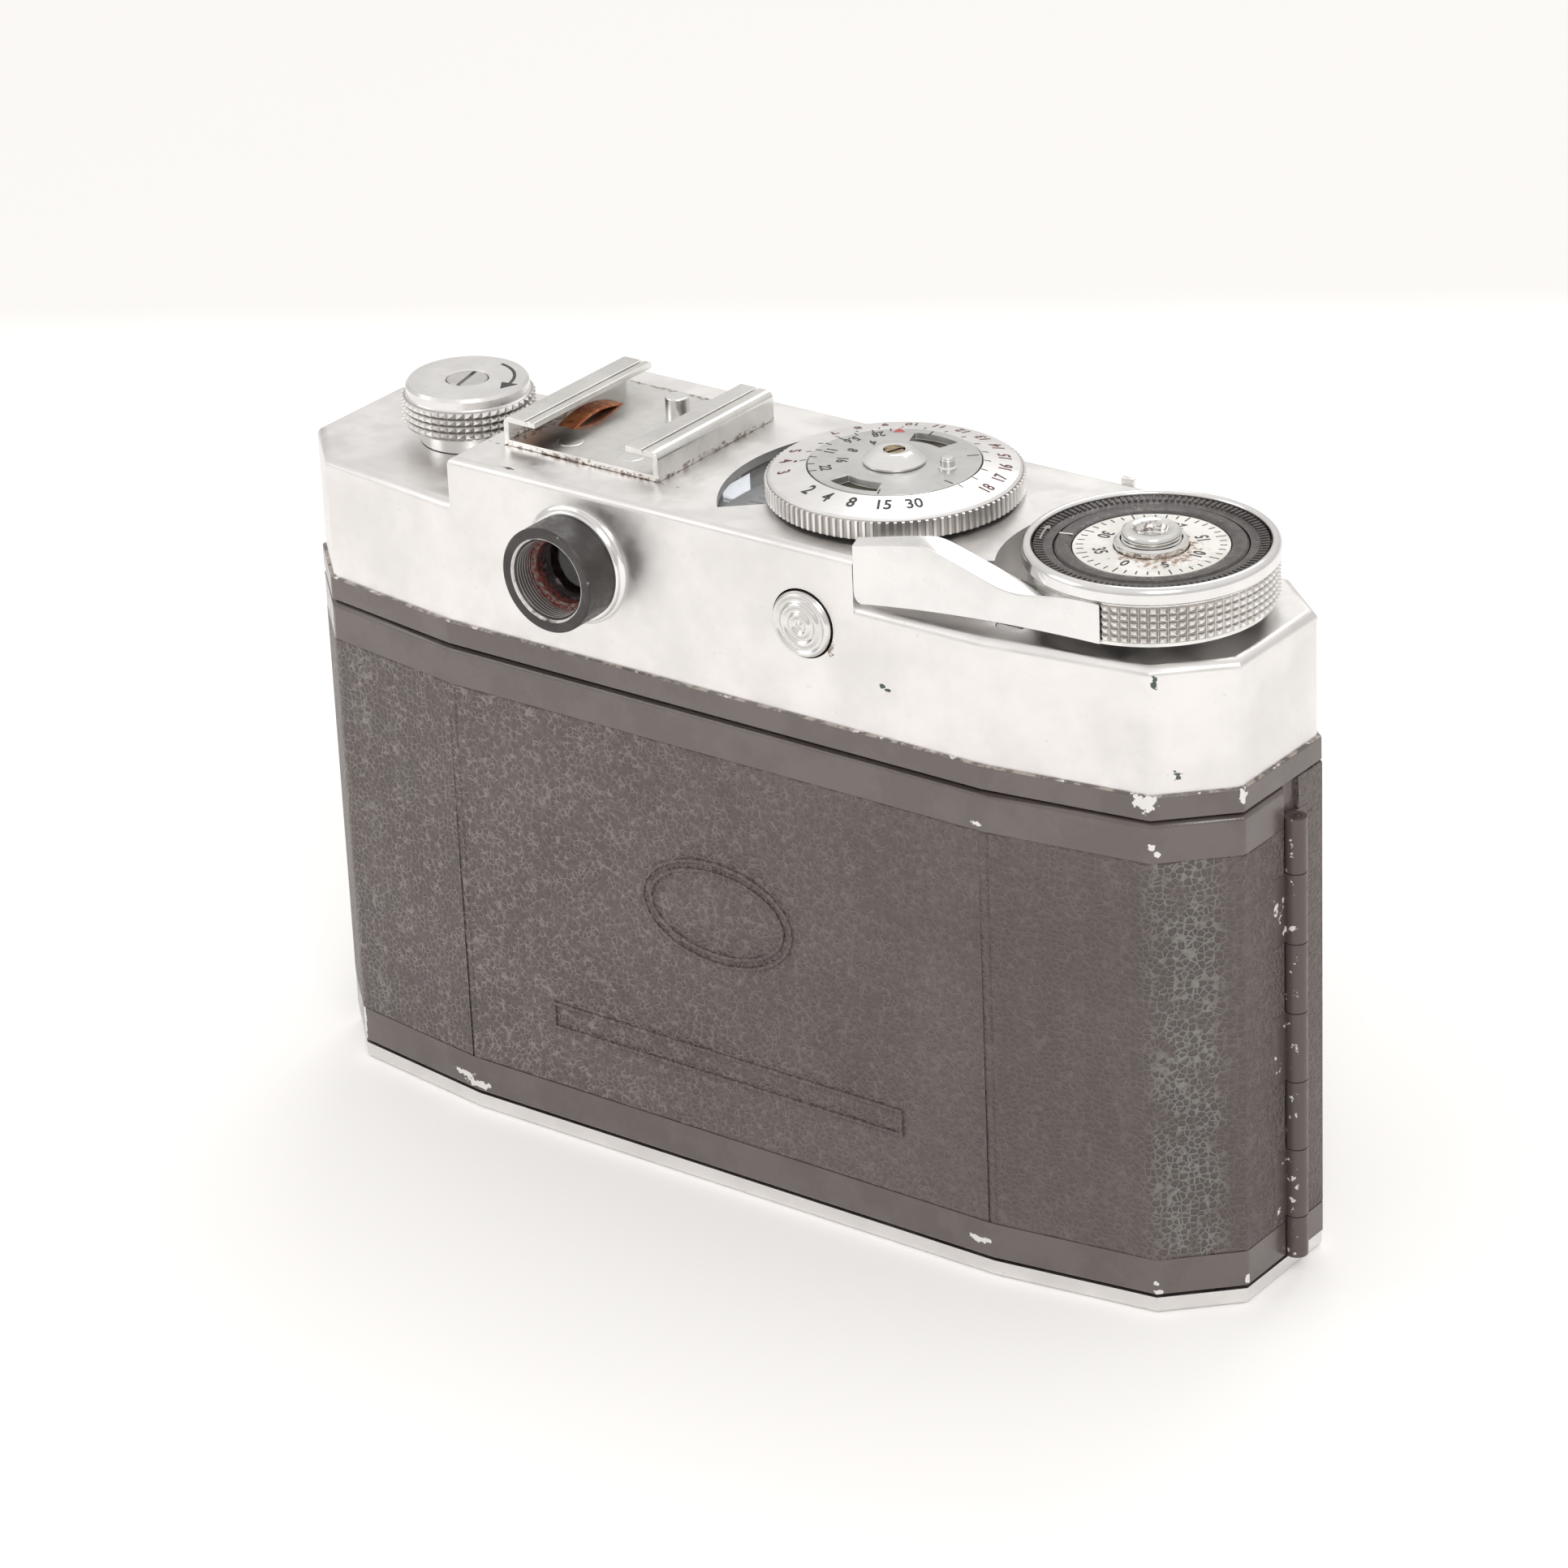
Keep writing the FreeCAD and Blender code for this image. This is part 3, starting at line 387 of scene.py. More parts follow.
CHIPS = [
    ((-37.7, -16.7, 3.9), (1.5, 1.5, 0.45)), ((-35.6, -17.0, 3.2), (2.2, 1.5, 0.5)),
    ((34.1, -17.2, 4.2), (1.6, 1.5, 0.4)), ((35.0, -17.2, 54.4), (0.6, 1.0, 0.35)),
    ((55.0, -14.5, 55.5), (0.35, 0.5, 0.4)), ((55.4, -14.0, 54.6), (0.45, 0.5, 0.35)),
    ((54.9, -14.5, 3.7), (0.4, 0.5, 0.3)), ((55.2, -14.4, 2.7), (0.7, 0.7, 0.3)),
    ((-54.9, -14.5, 4.6), (0.35, 1.2, 2.2)), ((54.7, -14.6, 60.6), (1.6, 0.7, 1.1)),
    ((61.8, -7.6, 60.4), (0.25, 0.8, 1.0)), ((62.0, -7.6, 3.1), (0.4, 0.5, 0.5)),
]


def enamel(name="black_enamel", worn_top=None):
    """Stove enamel, chipped to bare metal in places, worn along one height."""
    material, tree, surface = blank_material(name)
    place = object_mm(tree)
    colour = blend_colour(tree, mottle(tree, place, 0.15), (0.098, 0.077, 0.071),
                          (0.116, 0.094, 0.087))
    dust = mottle(tree, place, 3.2, 0.68, 0.74)
    colour = blend_colour(tree, dust, colour, (0.17, 0.145, 0.13))
    bare = patches(tree, place, CHIPS)
    if worn_top is not None:
        band = ramp(tree, axes(tree, place)["Z"], worn_top - 0.20, worn_top - 0.02)
        rubbed = times(tree, band, mottle(tree, place, 0.7, 0.45, 0.58))
        colour = blend_colour(tree, rubbed, colour, (0.36, 0.31, 0.27))
        bright = times(tree, band, mottle(tree, place, 0.8, 0.62, 0.66))
        bare = larger(tree, bare, bright)
    colour = blend_colour(tree, bare, colour, (0.72, 0.70, 0.67))
    coat(tree, surface, colour, uneven(tree, place, 0.15, 0.24, 0.6))
    surface.inputs["Specular IOR Level"].default_value = 0.8
    height = arithmetic(tree, "SUBTRACT", mottle(tree, place, 1.4), bare)
    bump(tree, surface, height, 0.2, 0.04)
    return material


black_enamel = enamel()
rim_enamel = enamel("rim_enamel", 61.2)

casting = bench_copy("body_casting", "body_casting_worked")
RIM_LEVELS = (58.4, 61.2)


def on_rim(a, b):
    """Edges round the outside of the rim, and its upright corners."""
    outside = all(abs(p.x) > 53 or p.y < -13 or p.y > 12 for p in (a, b))
    level = any(abs(a.z - h) < 0.01 and abs(b.z - h) < 0.01 for h in RIM_LEVELS)
    upright = abs(abs(a.z - b.z) - 2.8) < 0.05
    far = all(max(abs(p.x) / 62.0, abs(p.y) / 13.5) > 0.99 for p in (a, b))
    return outside and far and (level or upright)


round_edges(casting, 0.25, on_rim)
smooth(casting)
fit(casting, rim_enamel, "root", "black_casting", "body_casting")

# ---------------------------------------------------------------------------
# Back door.
# A folded steel door, enamelled black, that closes the film chamber. It has
# smooth bands above and below its leather panel and a steel catch inside.
# ---------------------------------------------------------------------------
door = bench_copy("door_shell", "door_shell_worked")
DOOR_ENDS = [corner.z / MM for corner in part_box("door_shell")]


def on_door_edge(level):
    """A test for the door's outer edges at one height."""
    def test(a, b):
        outer = all(abs(p.x) / 62.0 > 0.995 or p.y < -14.2 or
                    (abs(p.x) > 54.8 and p.y < -7.4 - (62.0 - abs(p.x)) * 0.95) for p in (a, b))
        return outer and abs(a.z - level) < 0.01 and abs(b.z - level) < 0.01
    return test


for level, width in zip(DOOR_ENDS, (0.3, 0.6)):
    round_edges(door, width, on_door_edge(level))
CORNERS = [(side * x, y) for side in (-1, 1) for x, y in ((62.0, -7.55), (54.9, -14.5))]
round_edges(door, 0.4, lambda a, b: abs(a.z - b.z) > 1 and (a.xy - b.xy).length < 0.02
            and min((a.xy - Vector(c)).length for c in CORNERS) < 0.1)
smooth(door)
fit(door, black_enamel, "back_door", "black_enamel", "door_shell")

# ---------------------------------------------------------------------------
# Leather.
# Black pebble-grained leatherette glued to the door and the front, with an
# embossed plain oval and a ruled strip on the door panel.
# ---------------------------------------------------------------------------
def leather():
    """Pebble grain, fine in the middle, coarse and rubbed pale near the ends."""
    material, tree, surface = blank_material("leatherette")
    place = object_mm(tree)
    drift = texture(tree, "Noise", place, Scale=0.9, Detail=2.0)
    warp = node(tree, "ShaderNodeMix", data_type="VECTOR")
    warp.inputs[0].default_value = 0.35
    tree.links.new(place, warp.inputs[4])
    shifted = node(tree, "ShaderNodeVectorMath", operation="ADD")
    tree.links.new(place, shifted.inputs[0])
    tree.links.new(drift.outputs["Color"], shifted.inputs[1])
    tree.links.new(shifted.outputs[0], warp.inputs[5])
    cells = texture(tree, "Voronoi", warp.outputs[1], feature="DISTANCE_TO_EDGE", Scale=1.35,
                    Randomness=0.8)
    cell_edge = cells.outputs["Distance"]
    pebble = ramp(tree, cell_edge, 0.0, 0.30)
    fine = texture(tree, "Noise", place, Scale=4.0, Detail=5.0, Roughness=0.65)
    axis = axes(tree, place)
    right = times(tree, ramp(tree, axis["X"], 52.5, 57.0),
                  ramp(tree, axis["X"], 59.0, 61.0, 1.0, 0.0))
    left = times(tree, ramp(tree, axis["X"], -56.0, -52.0, 0.2, 1.0),
                 ramp(tree, axis["X"], -50.0, -40.0, 1.0, 0.0))
    left = times(tree, left, mottle(tree, place, 0.12, 0.5, 0.62))
    rubbed = larger(tree, right, times(tree, left, 0.7))
    rubbed = times(tree, rubbed, mottle(tree, place, 0.35, 0.30, 0.55))
    crease = ramp(tree, cell_edge, 0.05, 0.20, 1.0, 0.0)
    crease = times(tree, crease, rubbed)
    colour = blend_colour(tree, mottle(tree, place, 0.06, 0.35, 0.65), (0.100, 0.079, 0.073),
                          (0.118, 0.095, 0.088))
    grain = times(tree, ramp(tree, cell_edge, 0.0, 0.12, 1.0, 0.0),
                  ramp(tree, axis["X"], -50.0, 40.0, 0.75, 0.15))
    grain = times(tree, grain, mottle(tree, place, 0.8, 0.35, 0.60))
    colour = blend_colour(tree, grain, colour, (0.30, 0.265, 0.245))
    hollow = ramp(tree, cell_edge, 0.22, 0.38, 0.0, 0.45)
    colour = blend_colour(tree, hollow, colour, (0.055, 0.042, 0.038))
    colour = blend_colour(tree, times(tree, crease, 0.62), colour, (0.25, 0.25, 0.235))
    edge = larger(tree, ramp(tree, axis["Z"], 6.95, 6.7),
                  times(tree, ramp(tree, axis["Z"], 53.25, 53.5),
                        ramp(tree, axis["Z"], 53.9, 53.7)))
    edge = times(tree, edge, mottle(tree, place, 0.5, 0.42, 0.62))
    colour = blend_colour(tree, edge, colour, (0.075, 0.045, 0.034))
    lint = mottle(tree, place, 2.4, 0.70, 0.76)
    colour = blend_colour(tree, lint, colour, (0.26, 0.23, 0.21))
    coat(tree, surface, colour, ramp(tree, fine.outputs["Fac"], 0.3, 0.7, 0.36, 0.50))
    depth = arithmetic(tree, "ADD", times(tree, rubbed, 0.6), 0.75)
    height = times(tree, pebble, depth)
    height = arithmetic(tree, "ADD", height, times(tree, fine.outputs["Fac"], 0.6))
    bump(tree, surface, height, 0.9, 0.22)
    return material


leatherette = leather()
for source, body in (("door_leather", "back_door"), ("front_leather", "root")):
    panel = bench_copy(source, source + "_worked")
    round_edges(panel, 0.6, lambda a, b: abs(a.z - b.z) > 20 and max(a.y, -a.y) > 12.0)
    ends = [c.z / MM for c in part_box(source)]
    round_edges(panel, 0.2, lambda a, b: abs(a.z - b.z) < 0.01
                and min(abs(a.z - end) for end in ends) < 0.01 and (a - b).length > 0.6)
    smooth(panel)
    fit(panel, leatherette, body, "leatherette", source)


def outline_face(name, corners):
    """A flat face drawn corner by corner, in millimetres."""
    places = [MM * Vector(c) for c in corners]
    bpy.ops.mesh.primitive_plane_add(size=MM, location=places[0])
    piece = bpy.context.object
    piece.name = name
    bpy.context.tool_settings.mesh_select_mode = (True, False, False)
    bpy.ops.object.mode_set(mode="EDIT")
    bpy.ops.mesh.merge(type="CENTER")
    for here, there in zip(places, places[1:]):
        bpy.ops.mesh.extrude_region_move(TRANSFORM_OT_translate={"value": there - here})
    bpy.ops.mesh.select_all(action="SELECT")
    bpy.ops.mesh.edge_face_add()
    bpy.ops.object.mode_set(mode="OBJECT")
    bpy.ops.object.transform_apply(location=True, rotation=True, scale=True)
    return piece


PANEL_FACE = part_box("door_leather")[0].y / MM
EMBOSS = 0.24
EMBOSS_LINE = 0.40


def embossed_line(name, corners):
    """A fine raised line along a closed outline on the door panel."""
    piece = outline_face(name, [(x, PANEL_FACE + 0.05, z) for x, z in corners])
    bpy.ops.object.mode_set(mode="EDIT")
    bpy.ops.mesh.select_all(action="SELECT")
    bpy.ops.mesh.inset(thickness=EMBOSS_LINE * MM, depth=0)
    bpy.ops.mesh.delete(type="FACE")
    bpy.ops.mesh.select_all(action="SELECT")
    bpy.ops.mesh.extrude_region_move(
        TRANSFORM_OT_translate={"value": (0, -(EMBOSS + 0.05) * MM, 0)})
    bpy.ops.mesh.select_all(action="SELECT")
    bpy.ops.mesh.normals_make_consistent(inside=False)
    bpy.ops.object.mode_set(mode="OBJECT")
    soften(piece, 0.06)
    return fit(piece, leatherette, "back_door", "leatherette")


BADGE_Z, BADGE_POINTS = 34.4, 40


def oval(half_width, half_height):
    """Points round a plain oval in the middle of the door panel."""
    turns = [2 * math.pi * i / BADGE_POINTS for i in range(BADGE_POINTS)]
    return [(half_width * math.cos(t), BADGE_Z + half_height * math.sin(t)) for t in turns]


embossed_line("badge_outer_line", oval(10.3, 6.3))
embossed_line("badge_inner_line", oval(9.2, 5.2))
embossed_line("ruled_strip", [(-23.9, 17.2), (24.2, 17.2), (24.2, 13.9), (-23.9, 13.9)])

# ---------------------------------------------------------------------------
# Hinge.
# Seven rolled steel knuckles, enamelled with the body, on a steel pin. Their
# outer side is rubbed to bare metal.
# ---------------------------------------------------------------------------
HINGE_Y = 1.3


def hinge_enamel():
    """Enamel worn through along the edge away from the body and at the joints."""
    material, tree, surface = blank_material("hinge_enamel")
    place = object_mm(tree)
    axis = axes(tree, place)
    outer = ramp(tree, axis["Y"], HINGE_Y + 0.95, HINGE_Y + 1.15)
    patchy = times(tree, outer, mottle(tree, place, 0.22, 0.56, 0.61))
    body_side = times(tree, ramp(tree, axis["Y"], 0.45, 0.2),
                      mottle(tree, place, 0.8, 0.60, 0.64))
    bare = larger(tree, patchy, body_side)
    colour = blend_colour(tree, bare, (0.092, 0.071, 0.065), (0.70, 0.68, 0.66))
    coat(tree, surface, colour, uneven(tree, place, 0.30, 0.42, 0.8))
    bump(tree, surface, arithmetic(tree, "SUBTRACT", 1.0, bare), 0.3, 0.05)
    return material


def worked(source, width, material, body, slot):
    """A node's own mesh with its edges rounded, fitted in the node's place."""
    piece = bench_copy(source, source + "_worked")
    soften(piece, width)
    fit(piece, material, body, slot, source)
    return piece


knuckle_enamel = hinge_enamel()
for source, body in (("hinge_body_leaf", "root"), ("hinge_door_leaf", "back_door")):
    worked(source, 0.12, knuckle_enamel, body, "black_enamel")

# ---------------------------------------------------------------------------
# Metal finishes of the covers and controls.
# Satin chrome on brass for the covers and the lever, bright chrome for turned
# trim, plain machined steel for screws and shafts.
# ---------------------------------------------------------------------------
GRAIN_SCALE = 5.0


def radius_about(tree, place, centre, axis):
    """Distance in millimetres from a turning axis, Z or Y, through centre."""
    shift = node(tree, "ShaderNodeMapping", Location=[-c for c in centre])
    tree.links.new(place, shift.inputs["Vector"])
    flat = node(tree, "ShaderNodeVectorMath", operation="MULTIPLY")
    flat.inputs[1].default_value = (1, 1, 0) if axis == "Z" else (1, 0, 1)
    tree.links.new(shift.outputs["Vector"], flat.inputs[0])
    reach = node(tree, "ShaderNodeVectorMath", operation="LENGTH")
    tree.links.new(flat.outputs[0], reach.inputs[0])
    return reach.outputs["Value"]


def plated(name, colour, rough, grain, spread=0.05, dirt=(), nicks=(), soot=0.0,
           valley=None):
    """Plated or bare metal: blotchy polish, fine satin grain, dirt and nicks.

    valley is (centre, inner radius, outer radius) of a knurl that holds dirt.
    """
    material, tree, surface = blank_material(name)
    surface.inputs["Metallic"].default_value = 1.0
    place = object_mm(tree)
    darker = tuple(c * 0.90 for c in colour)
    tone = blend_colour(tree, mottle(tree, place, 0.09, 0.35, 0.65), colour, darker)
    fleck = mottle(tree, place, 1.1, 0.66, 0.78)
    tone = blend_colour(tree, times(tree, fleck, 0.35), tone, (0.45, 0.43, 0.41))
    if soot:
        sooty = times(tree, mottle(tree, place, 0.5, 0.45, 0.65), soot)
        tone = blend_colour(tree, sooty, tone, (0.28, 0.24, 0.20))
    if dirt:
        dirty = patches(tree, place, dirt, 0.9)
        dirty = times(tree, dirty, mottle(tree, place, 2.0, 0.38, 0.6))
        tone = blend_colour(tree, times(tree, dirty, 0.8), tone, (0.16, 0.10, 0.06))
    if nicks:
        tone = blend_colour(tree, patches(tree, place, nicks), tone, (0.10, 0.12, 0.11))
    if valley:
        centre, inner, outer = valley
        reach = radius_about(tree, place, centre, "Z")
        low = arithmetic(tree, "MULTIPLY",
                         ramp(tree, reach, inner, inner + 0.04),
                         ramp(tree, reach, 0.75 * inner + 0.25 * outer,
                              0.25 * inner + 0.75 * outer, 1.0, 0.0))
        tone = blend_colour(tree, times(tree, low, 0.6), tone, (0.24, 0.205, 0.18))
    polish = mottle(tree, place, 0.25, 0.3, 0.7)
    coat(tree, surface, tone, ramp(tree, polish, 0.0, 1.0, rough - spread, rough + spread))
    if grain:
        fine = texture(tree, "Noise", place, Scale=GRAIN_SCALE, Detail=3.0, Roughness=0.7)
        bump(tree, surface, fine.outputs["Fac"], grain, 0.02)
    return material


COVER_DIRT = [
    ((-20.8, -10.75, 80.8), (11.0, 0.25, 0.3)), ((16.6, -16.9, 70.6), (0.35, 0.5, 1.6)),
]
COVER_NICKS = [
    ((57.2, -12.6, 63.3), (0.9, 0.9, 0.55)), ((55.2, -14.0, 73.9), (0.35, 0.8, 0.8)),
    ((23.2, -16.9, 67.2), (0.5, 0.5, 0.25)), ((23.9, -16.9, 66.8), (0.4, 0.5, 0.2)),
    ((-11.6, 10.3, 80.8), (0.5, 0.5, 0.4)), ((-27.0, -15.8, 80.8), (0.9, 0.25, 0.4)),
]
cover_chrome = plated("satin_chrome", (0.83, 0.81, 0.795), 0.36, 0.35, 0.06,
                      COVER_DIRT, COVER_NICKS)
lever_chrome = plated("lever_chrome", (0.82, 0.81, 0.80), 0.28, 0.2)
bright_chrome = plated("bright_chrome", (0.84, 0.83, 0.82), 0.13, 0.0, 0.03)
worn_chrome = plated("worn_chrome", (0.82, 0.81, 0.79), 0.18, 0.08, 0.04, soot=0.14)
steel = plated("machined_steel", (0.62, 0.61, 0.60), 0.28, 0.2)
satin_alloy = plated("satin_alloy", (0.80, 0.80, 0.79), 0.30, 0.25)
brass = plated("turned_brass", (0.62, 0.47, 0.22), 0.28, 0.2)

# ---------------------------------------------------------------------------
# Base plate, tripod bush and case screws.
# A chromed pressing that closes the body from below, held by four sunk
# slotted screws round a steel tripod bush.
# ---------------------------------------------------------------------------
base = bench_copy("base_plate", "base_plate_worked")
smooth(base)
fit(base, cover_chrome, "root", "satin_chrome", "base_plate")
worked("tripod_bush", 0.25, steel, "root", "steel")
worked("slotted_screws", 0.08, steel, "root", "steel")

# ---------------------------------------------------------------------------
# Top cover.
# One deep-drawn brass pressing in satin chrome over the finder and the meter,
# with a lower deck at each end, screwed to the casting.
# ---------------------------------------------------------------------------
cover = bench_copy("top_cover", "top_cover_worked")
COVER_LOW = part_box("top_cover")[0].z / MM


def on_cover_corner(a, b):
    """Upright outer corners of the pressing."""
    same = (a.xy - b.xy).length < 0.02
    return same and abs(a.z - b.z) > 4 and all(
        abs(p.x) > 54 or p.y < -16.5 or p.y > 14.8 for p in (a, b)) and min(a.z, b.z) < COVER_LOW + 0.1


round_edges(cover, 0.5, on_cover_corner, 4)
smooth(cover)
fit(cover, cover_chrome, "root", "satin_chrome", "top_cover")

# ---------------------------------------------------------------------------
# Accessory shoe.
# A plate with folded rails, riveted to the deck, with a leaf spring under the
# left rail and a stop post. Old dirt sits along its foot.
# ---------------------------------------------------------------------------
SHOE_X, SHOE_Y = -20.8, -0.2
SHOE_LOW, SHOE_TOP = (z / MM for z in (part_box("accessory_shoe")[0].z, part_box("accessory_shoe")[1].z))
SHOE_HALF, SHOE_DEPTH, SHOE_SHEET, SHOE_LIP = 10.6, 21.0, 0.7, 6.2
SLIT = 0.3


def pull(shift):
    """Draw the active flat piece out by shift, in millimetres, into a closed solid."""
    bpy.ops.object.mode_set(mode="EDIT")
    bpy.ops.mesh.select_all(action="SELECT")
    bpy.ops.mesh.extrude_region_move(
        TRANSFORM_OT_translate={"value": [c * MM for c in shift]})
    bpy.ops.mesh.select_all(action="SELECT")
    bpy.ops.mesh.normals_make_consistent(inside=False)
    bpy.ops.object.mode_set(mode="OBJECT")


def shoe_rail(name, side, slit_at):
    """Half of the shoe: floor, wall and folded-over lip with a slit along it."""
    wall, lip = SHOE_HALF, SHOE_LIP
    under, top = SHOE_TOP - SHOE_SHEET, SHOE_TOP
    bend = [(wall - 0.9 + 0.9 * math.sin(a), top - 0.9 + 0.9 * math.cos(a))
            for a in (math.radians(d) for d in (90, 72, 54, 36, 18, 0))]
    section = [(0.0, SHOE_LOW), (wall, SHOE_LOW)] + bend
    section += [(slit_at + SLIT / 2, top), (slit_at + SLIT / 2, top - 0.4),
                (slit_at - SLIT / 2, top - 0.4), (slit_at - SLIT / 2, top)]
    section += [(lip, top), (lip, under), (wall - SHOE_SHEET, under),
                (wall - SHOE_SHEET, SHOE_LOW + SHOE_SHEET), (0.0, SHOE_LOW + SHOE_SHEET)]
    rear = SHOE_Y - SHOE_DEPTH / 2
    rail = outline_face(name, [(SHOE_X + side * x, rear, z) for x, z in section])
    pull((0, SHOE_DEPTH, 0))
    return rail


def joined(pieces, name):
    """Several pieces as one mesh."""
    work_on(pieces[0])
    for piece in pieces:
        piece.select_set(True)
    bpy.ops.object.join()
    pieces[0].name = name
    return pieces[0]


SHOE_DIRT = [((SHOE_X, SHOE_Y - 10.5, SHOE_LOW), (11.0, 0.3, 0.45)),
             ((SHOE_X + 10.6, SHOE_Y, SHOE_LOW), (0.3, 11.0, 0.5)),
             ((SHOE_X - 9.2, SHOE_Y - 4.0, SHOE_LOW + 0.7), (0.8, 6.0, 0.6)),
             ((SHOE_X, SHOE_Y + 10.2, SHOE_LOW + 0.7), (9.0, 0.4, 0.3))]
shoe_chrome = plated("shoe_chrome", (0.78, 0.77, 0.75), 0.22, 0.2, 0.05, SHOE_DIRT, soot=0.10)
shoe = joined([shoe_rail("shoe_left", -1, 7.4), shoe_rail("shoe_right", 1, 8.6)], "shoe_plate")
bpy.ops.object.mode_set(mode="EDIT")
bpy.ops.mesh.select_all(action="SELECT")
bpy.ops.mesh.remove_doubles(threshold=0.001 * MM)
bpy.ops.object.mode_set(mode="OBJECT")
pick(shoe, "FACE", lambda centre, normal: abs(centre.x - SHOE_X) < 0.01 and abs(normal.x) > 0.9)
bpy.ops.mesh.delete(type="FACE")
bpy.ops.object.mode_set(mode="OBJECT")
soften(shoe, 0.09)
fit(shoe, shoe_chrome, "root", "bright_chrome", "accessory_shoe")


def strip_along_y(name, x0, x1, height_at, thickness, y0, y1, steps):
    """A thin leaf from y0 to y1 whose height follows a function."""
    ys = [y0 + (y1 - y0) * i / steps for i in range(steps + 1)]
    upper = [(x0, y, height_at(y) + thickness) for y in ys]
    lower = [(x0, y, height_at(y)) for y in reversed(ys)]
    piece = outline_face(name, upper + lower)
    pull((x1 - x0, 0, 0))
    return piece


def bronze():
    """Bare phosphor bronze gone dark and orange with age."""
    material, tree, surface = blank_material("spring_bronze")
    surface.inputs["Metallic"].default_value = 0.75
    place = object_mm(tree)
    colour = blend_colour(tree, mottle(tree, place, 0.7), (0.42, 0.13, 0.055), (0.62, 0.26, 0.11))
    colour = blend_colour(tree, mottle(tree, place, 1.6, 0.55, 0.7), colour, (0.14, 0.09, 0.05))
    coat(tree, surface, colour, uneven(tree, place, 0.35, 0.55, 2.0))
    bump(tree, surface, mottle(tree, place, 2.5), 0.3, 0.05)
    return material


SPRING_LOW, SPRING_HIGH = (c.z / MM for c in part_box("shoe_spring"))
SPRING_FROM, SPRING_TO = -5.8, 5.4


def spring_height(y):
    """One shallow bow, tallest in the middle."""
    t = (y - SPRING_FROM) / (SPRING_TO - SPRING_FROM)
    return SPRING_LOW + (SPRING_HIGH - 0.3 - SPRING_LOW) * math.sin(math.pi * t)


spring = strip_along_y("shoe_leaf", -28.7, -26.4, spring_height, 0.28, SPRING_FROM, SPRING_TO, 28)
soften(spring, 0.06)
fit(spring, bronze(), "root", "copper_spring", "shoe_spring")
worked("shoe_rivets", 0.2, worn_chrome, "root", "bright_chrome")

# ---------------------------------------------------------------------------
# Eyepiece.
# A black anodised ring with an inner thread, screwed into a chrome flange on
# the cover. The rim of its thread is rubbed bright and rust dusts its seat.
# ---------------------------------------------------------------------------
def turned(name, profile, centre, axis, steps=96):
    """Turn (radius, height) points about a line through centre, in millimetres."""
    along = Vector((0, 0, 1)) if axis == "Z" else Vector((0, 1, 0))
    middle = Vector(centre)
    places = [MM * (middle + Vector((r, 0, 0)) + along * h) for r, h in profile]
    bpy.ops.mesh.primitive_plane_add(size=MM, location=places[0])
    piece = bpy.context.object
    piece.name = name
    bpy.context.tool_settings.mesh_select_mode = (True, False, False)
    bpy.ops.object.mode_set(mode="EDIT")
    bpy.ops.mesh.merge(type="CENTER")
    for here, there in zip(places, places[1:]):
        bpy.ops.mesh.extrude_region_move(TRANSFORM_OT_translate={"value": there - here})
    bpy.ops.mesh.select_all(action="SELECT")
    bpy.ops.mesh.spin(steps=steps, angle=2 * math.pi, center=MM * middle, axis=along)
    bpy.ops.mesh.select_all(action="SELECT")
    bpy.ops.mesh.remove_doubles(threshold=0.002 * MM)
    bpy.ops.mesh.normals_make_consistent(inside=False)
    bpy.ops.object.mode_set(mode="OBJECT")
    bpy.ops.object.transform_apply(location=True, rotation=True, scale=True)
    return piece


EYE = (-17.2, 0.0, 72.0)
EYE_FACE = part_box("eyepiece_ring")[0].y / MM
FLANGE_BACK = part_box("eyepiece_flange")[1].y / MM
THREADS, THREAD_PITCH = 6, 0.42


def anodised():
    """Matt black ring: bright where the thread's mouth is rubbed, rusty inside."""
    material, tree, surface = blank_material("black_anodised")
    place = object_mm(tree)
    radius = radius_about(tree, place, EYE, "Y")
    axis = axes(tree, place)
    front = ramp(tree, axis["Y"], EYE_FACE + 0.42, EYE_FACE + 0.30)
    mouth = times(tree, ramp(tree, radius, 4.55, 4.62),
                  ramp(tree, radius, 4.86, 4.78))
    mouth = times(tree, mouth, mottle(tree, place, 0.5, 0.30, 0.52))
    outer = times(tree, ramp(tree, radius, 5.72, 5.86),
                  mottle(tree, place, 0.7, 0.60, 0.68))
    bare = times(tree, larger(tree, mouth, outer), front)
    inside = times(tree, ramp(tree, radius, 4.5, 4.35),
                   ramp(tree, axis["Y"], -20.4, -19.6))
    rust = times(tree, inside, mottle(tree, place, 2.6, 0.44, 0.54))
    colour = blend_colour(tree, mottle(tree, place, 0.5), (0.030, 0.025, 0.024), (0.042, 0.036, 0.034))
    crest = times(tree, ramp(tree, radius, 4.43, 4.37),
                  ramp(tree, axis["Y"], EYE_FACE + 3.3, EYE_FACE + 3.0))
    colour = blend_colour(tree, times(tree, crest, 0.7), colour, (0.40, 0.37, 0.35))
    colour = blend_colour(tree, rust, colour, (0.22, 0.055, 0.045))
    colour = blend_colour(tree, bare, colour, (0.72, 0.70, 0.68))
    coat(tree, surface, colour, uneven(tree, place, 0.30, 0.45, 1.2))
    bump(tree, surface, mottle(tree, place, 5.0), 0.15, 0.03)
    return material


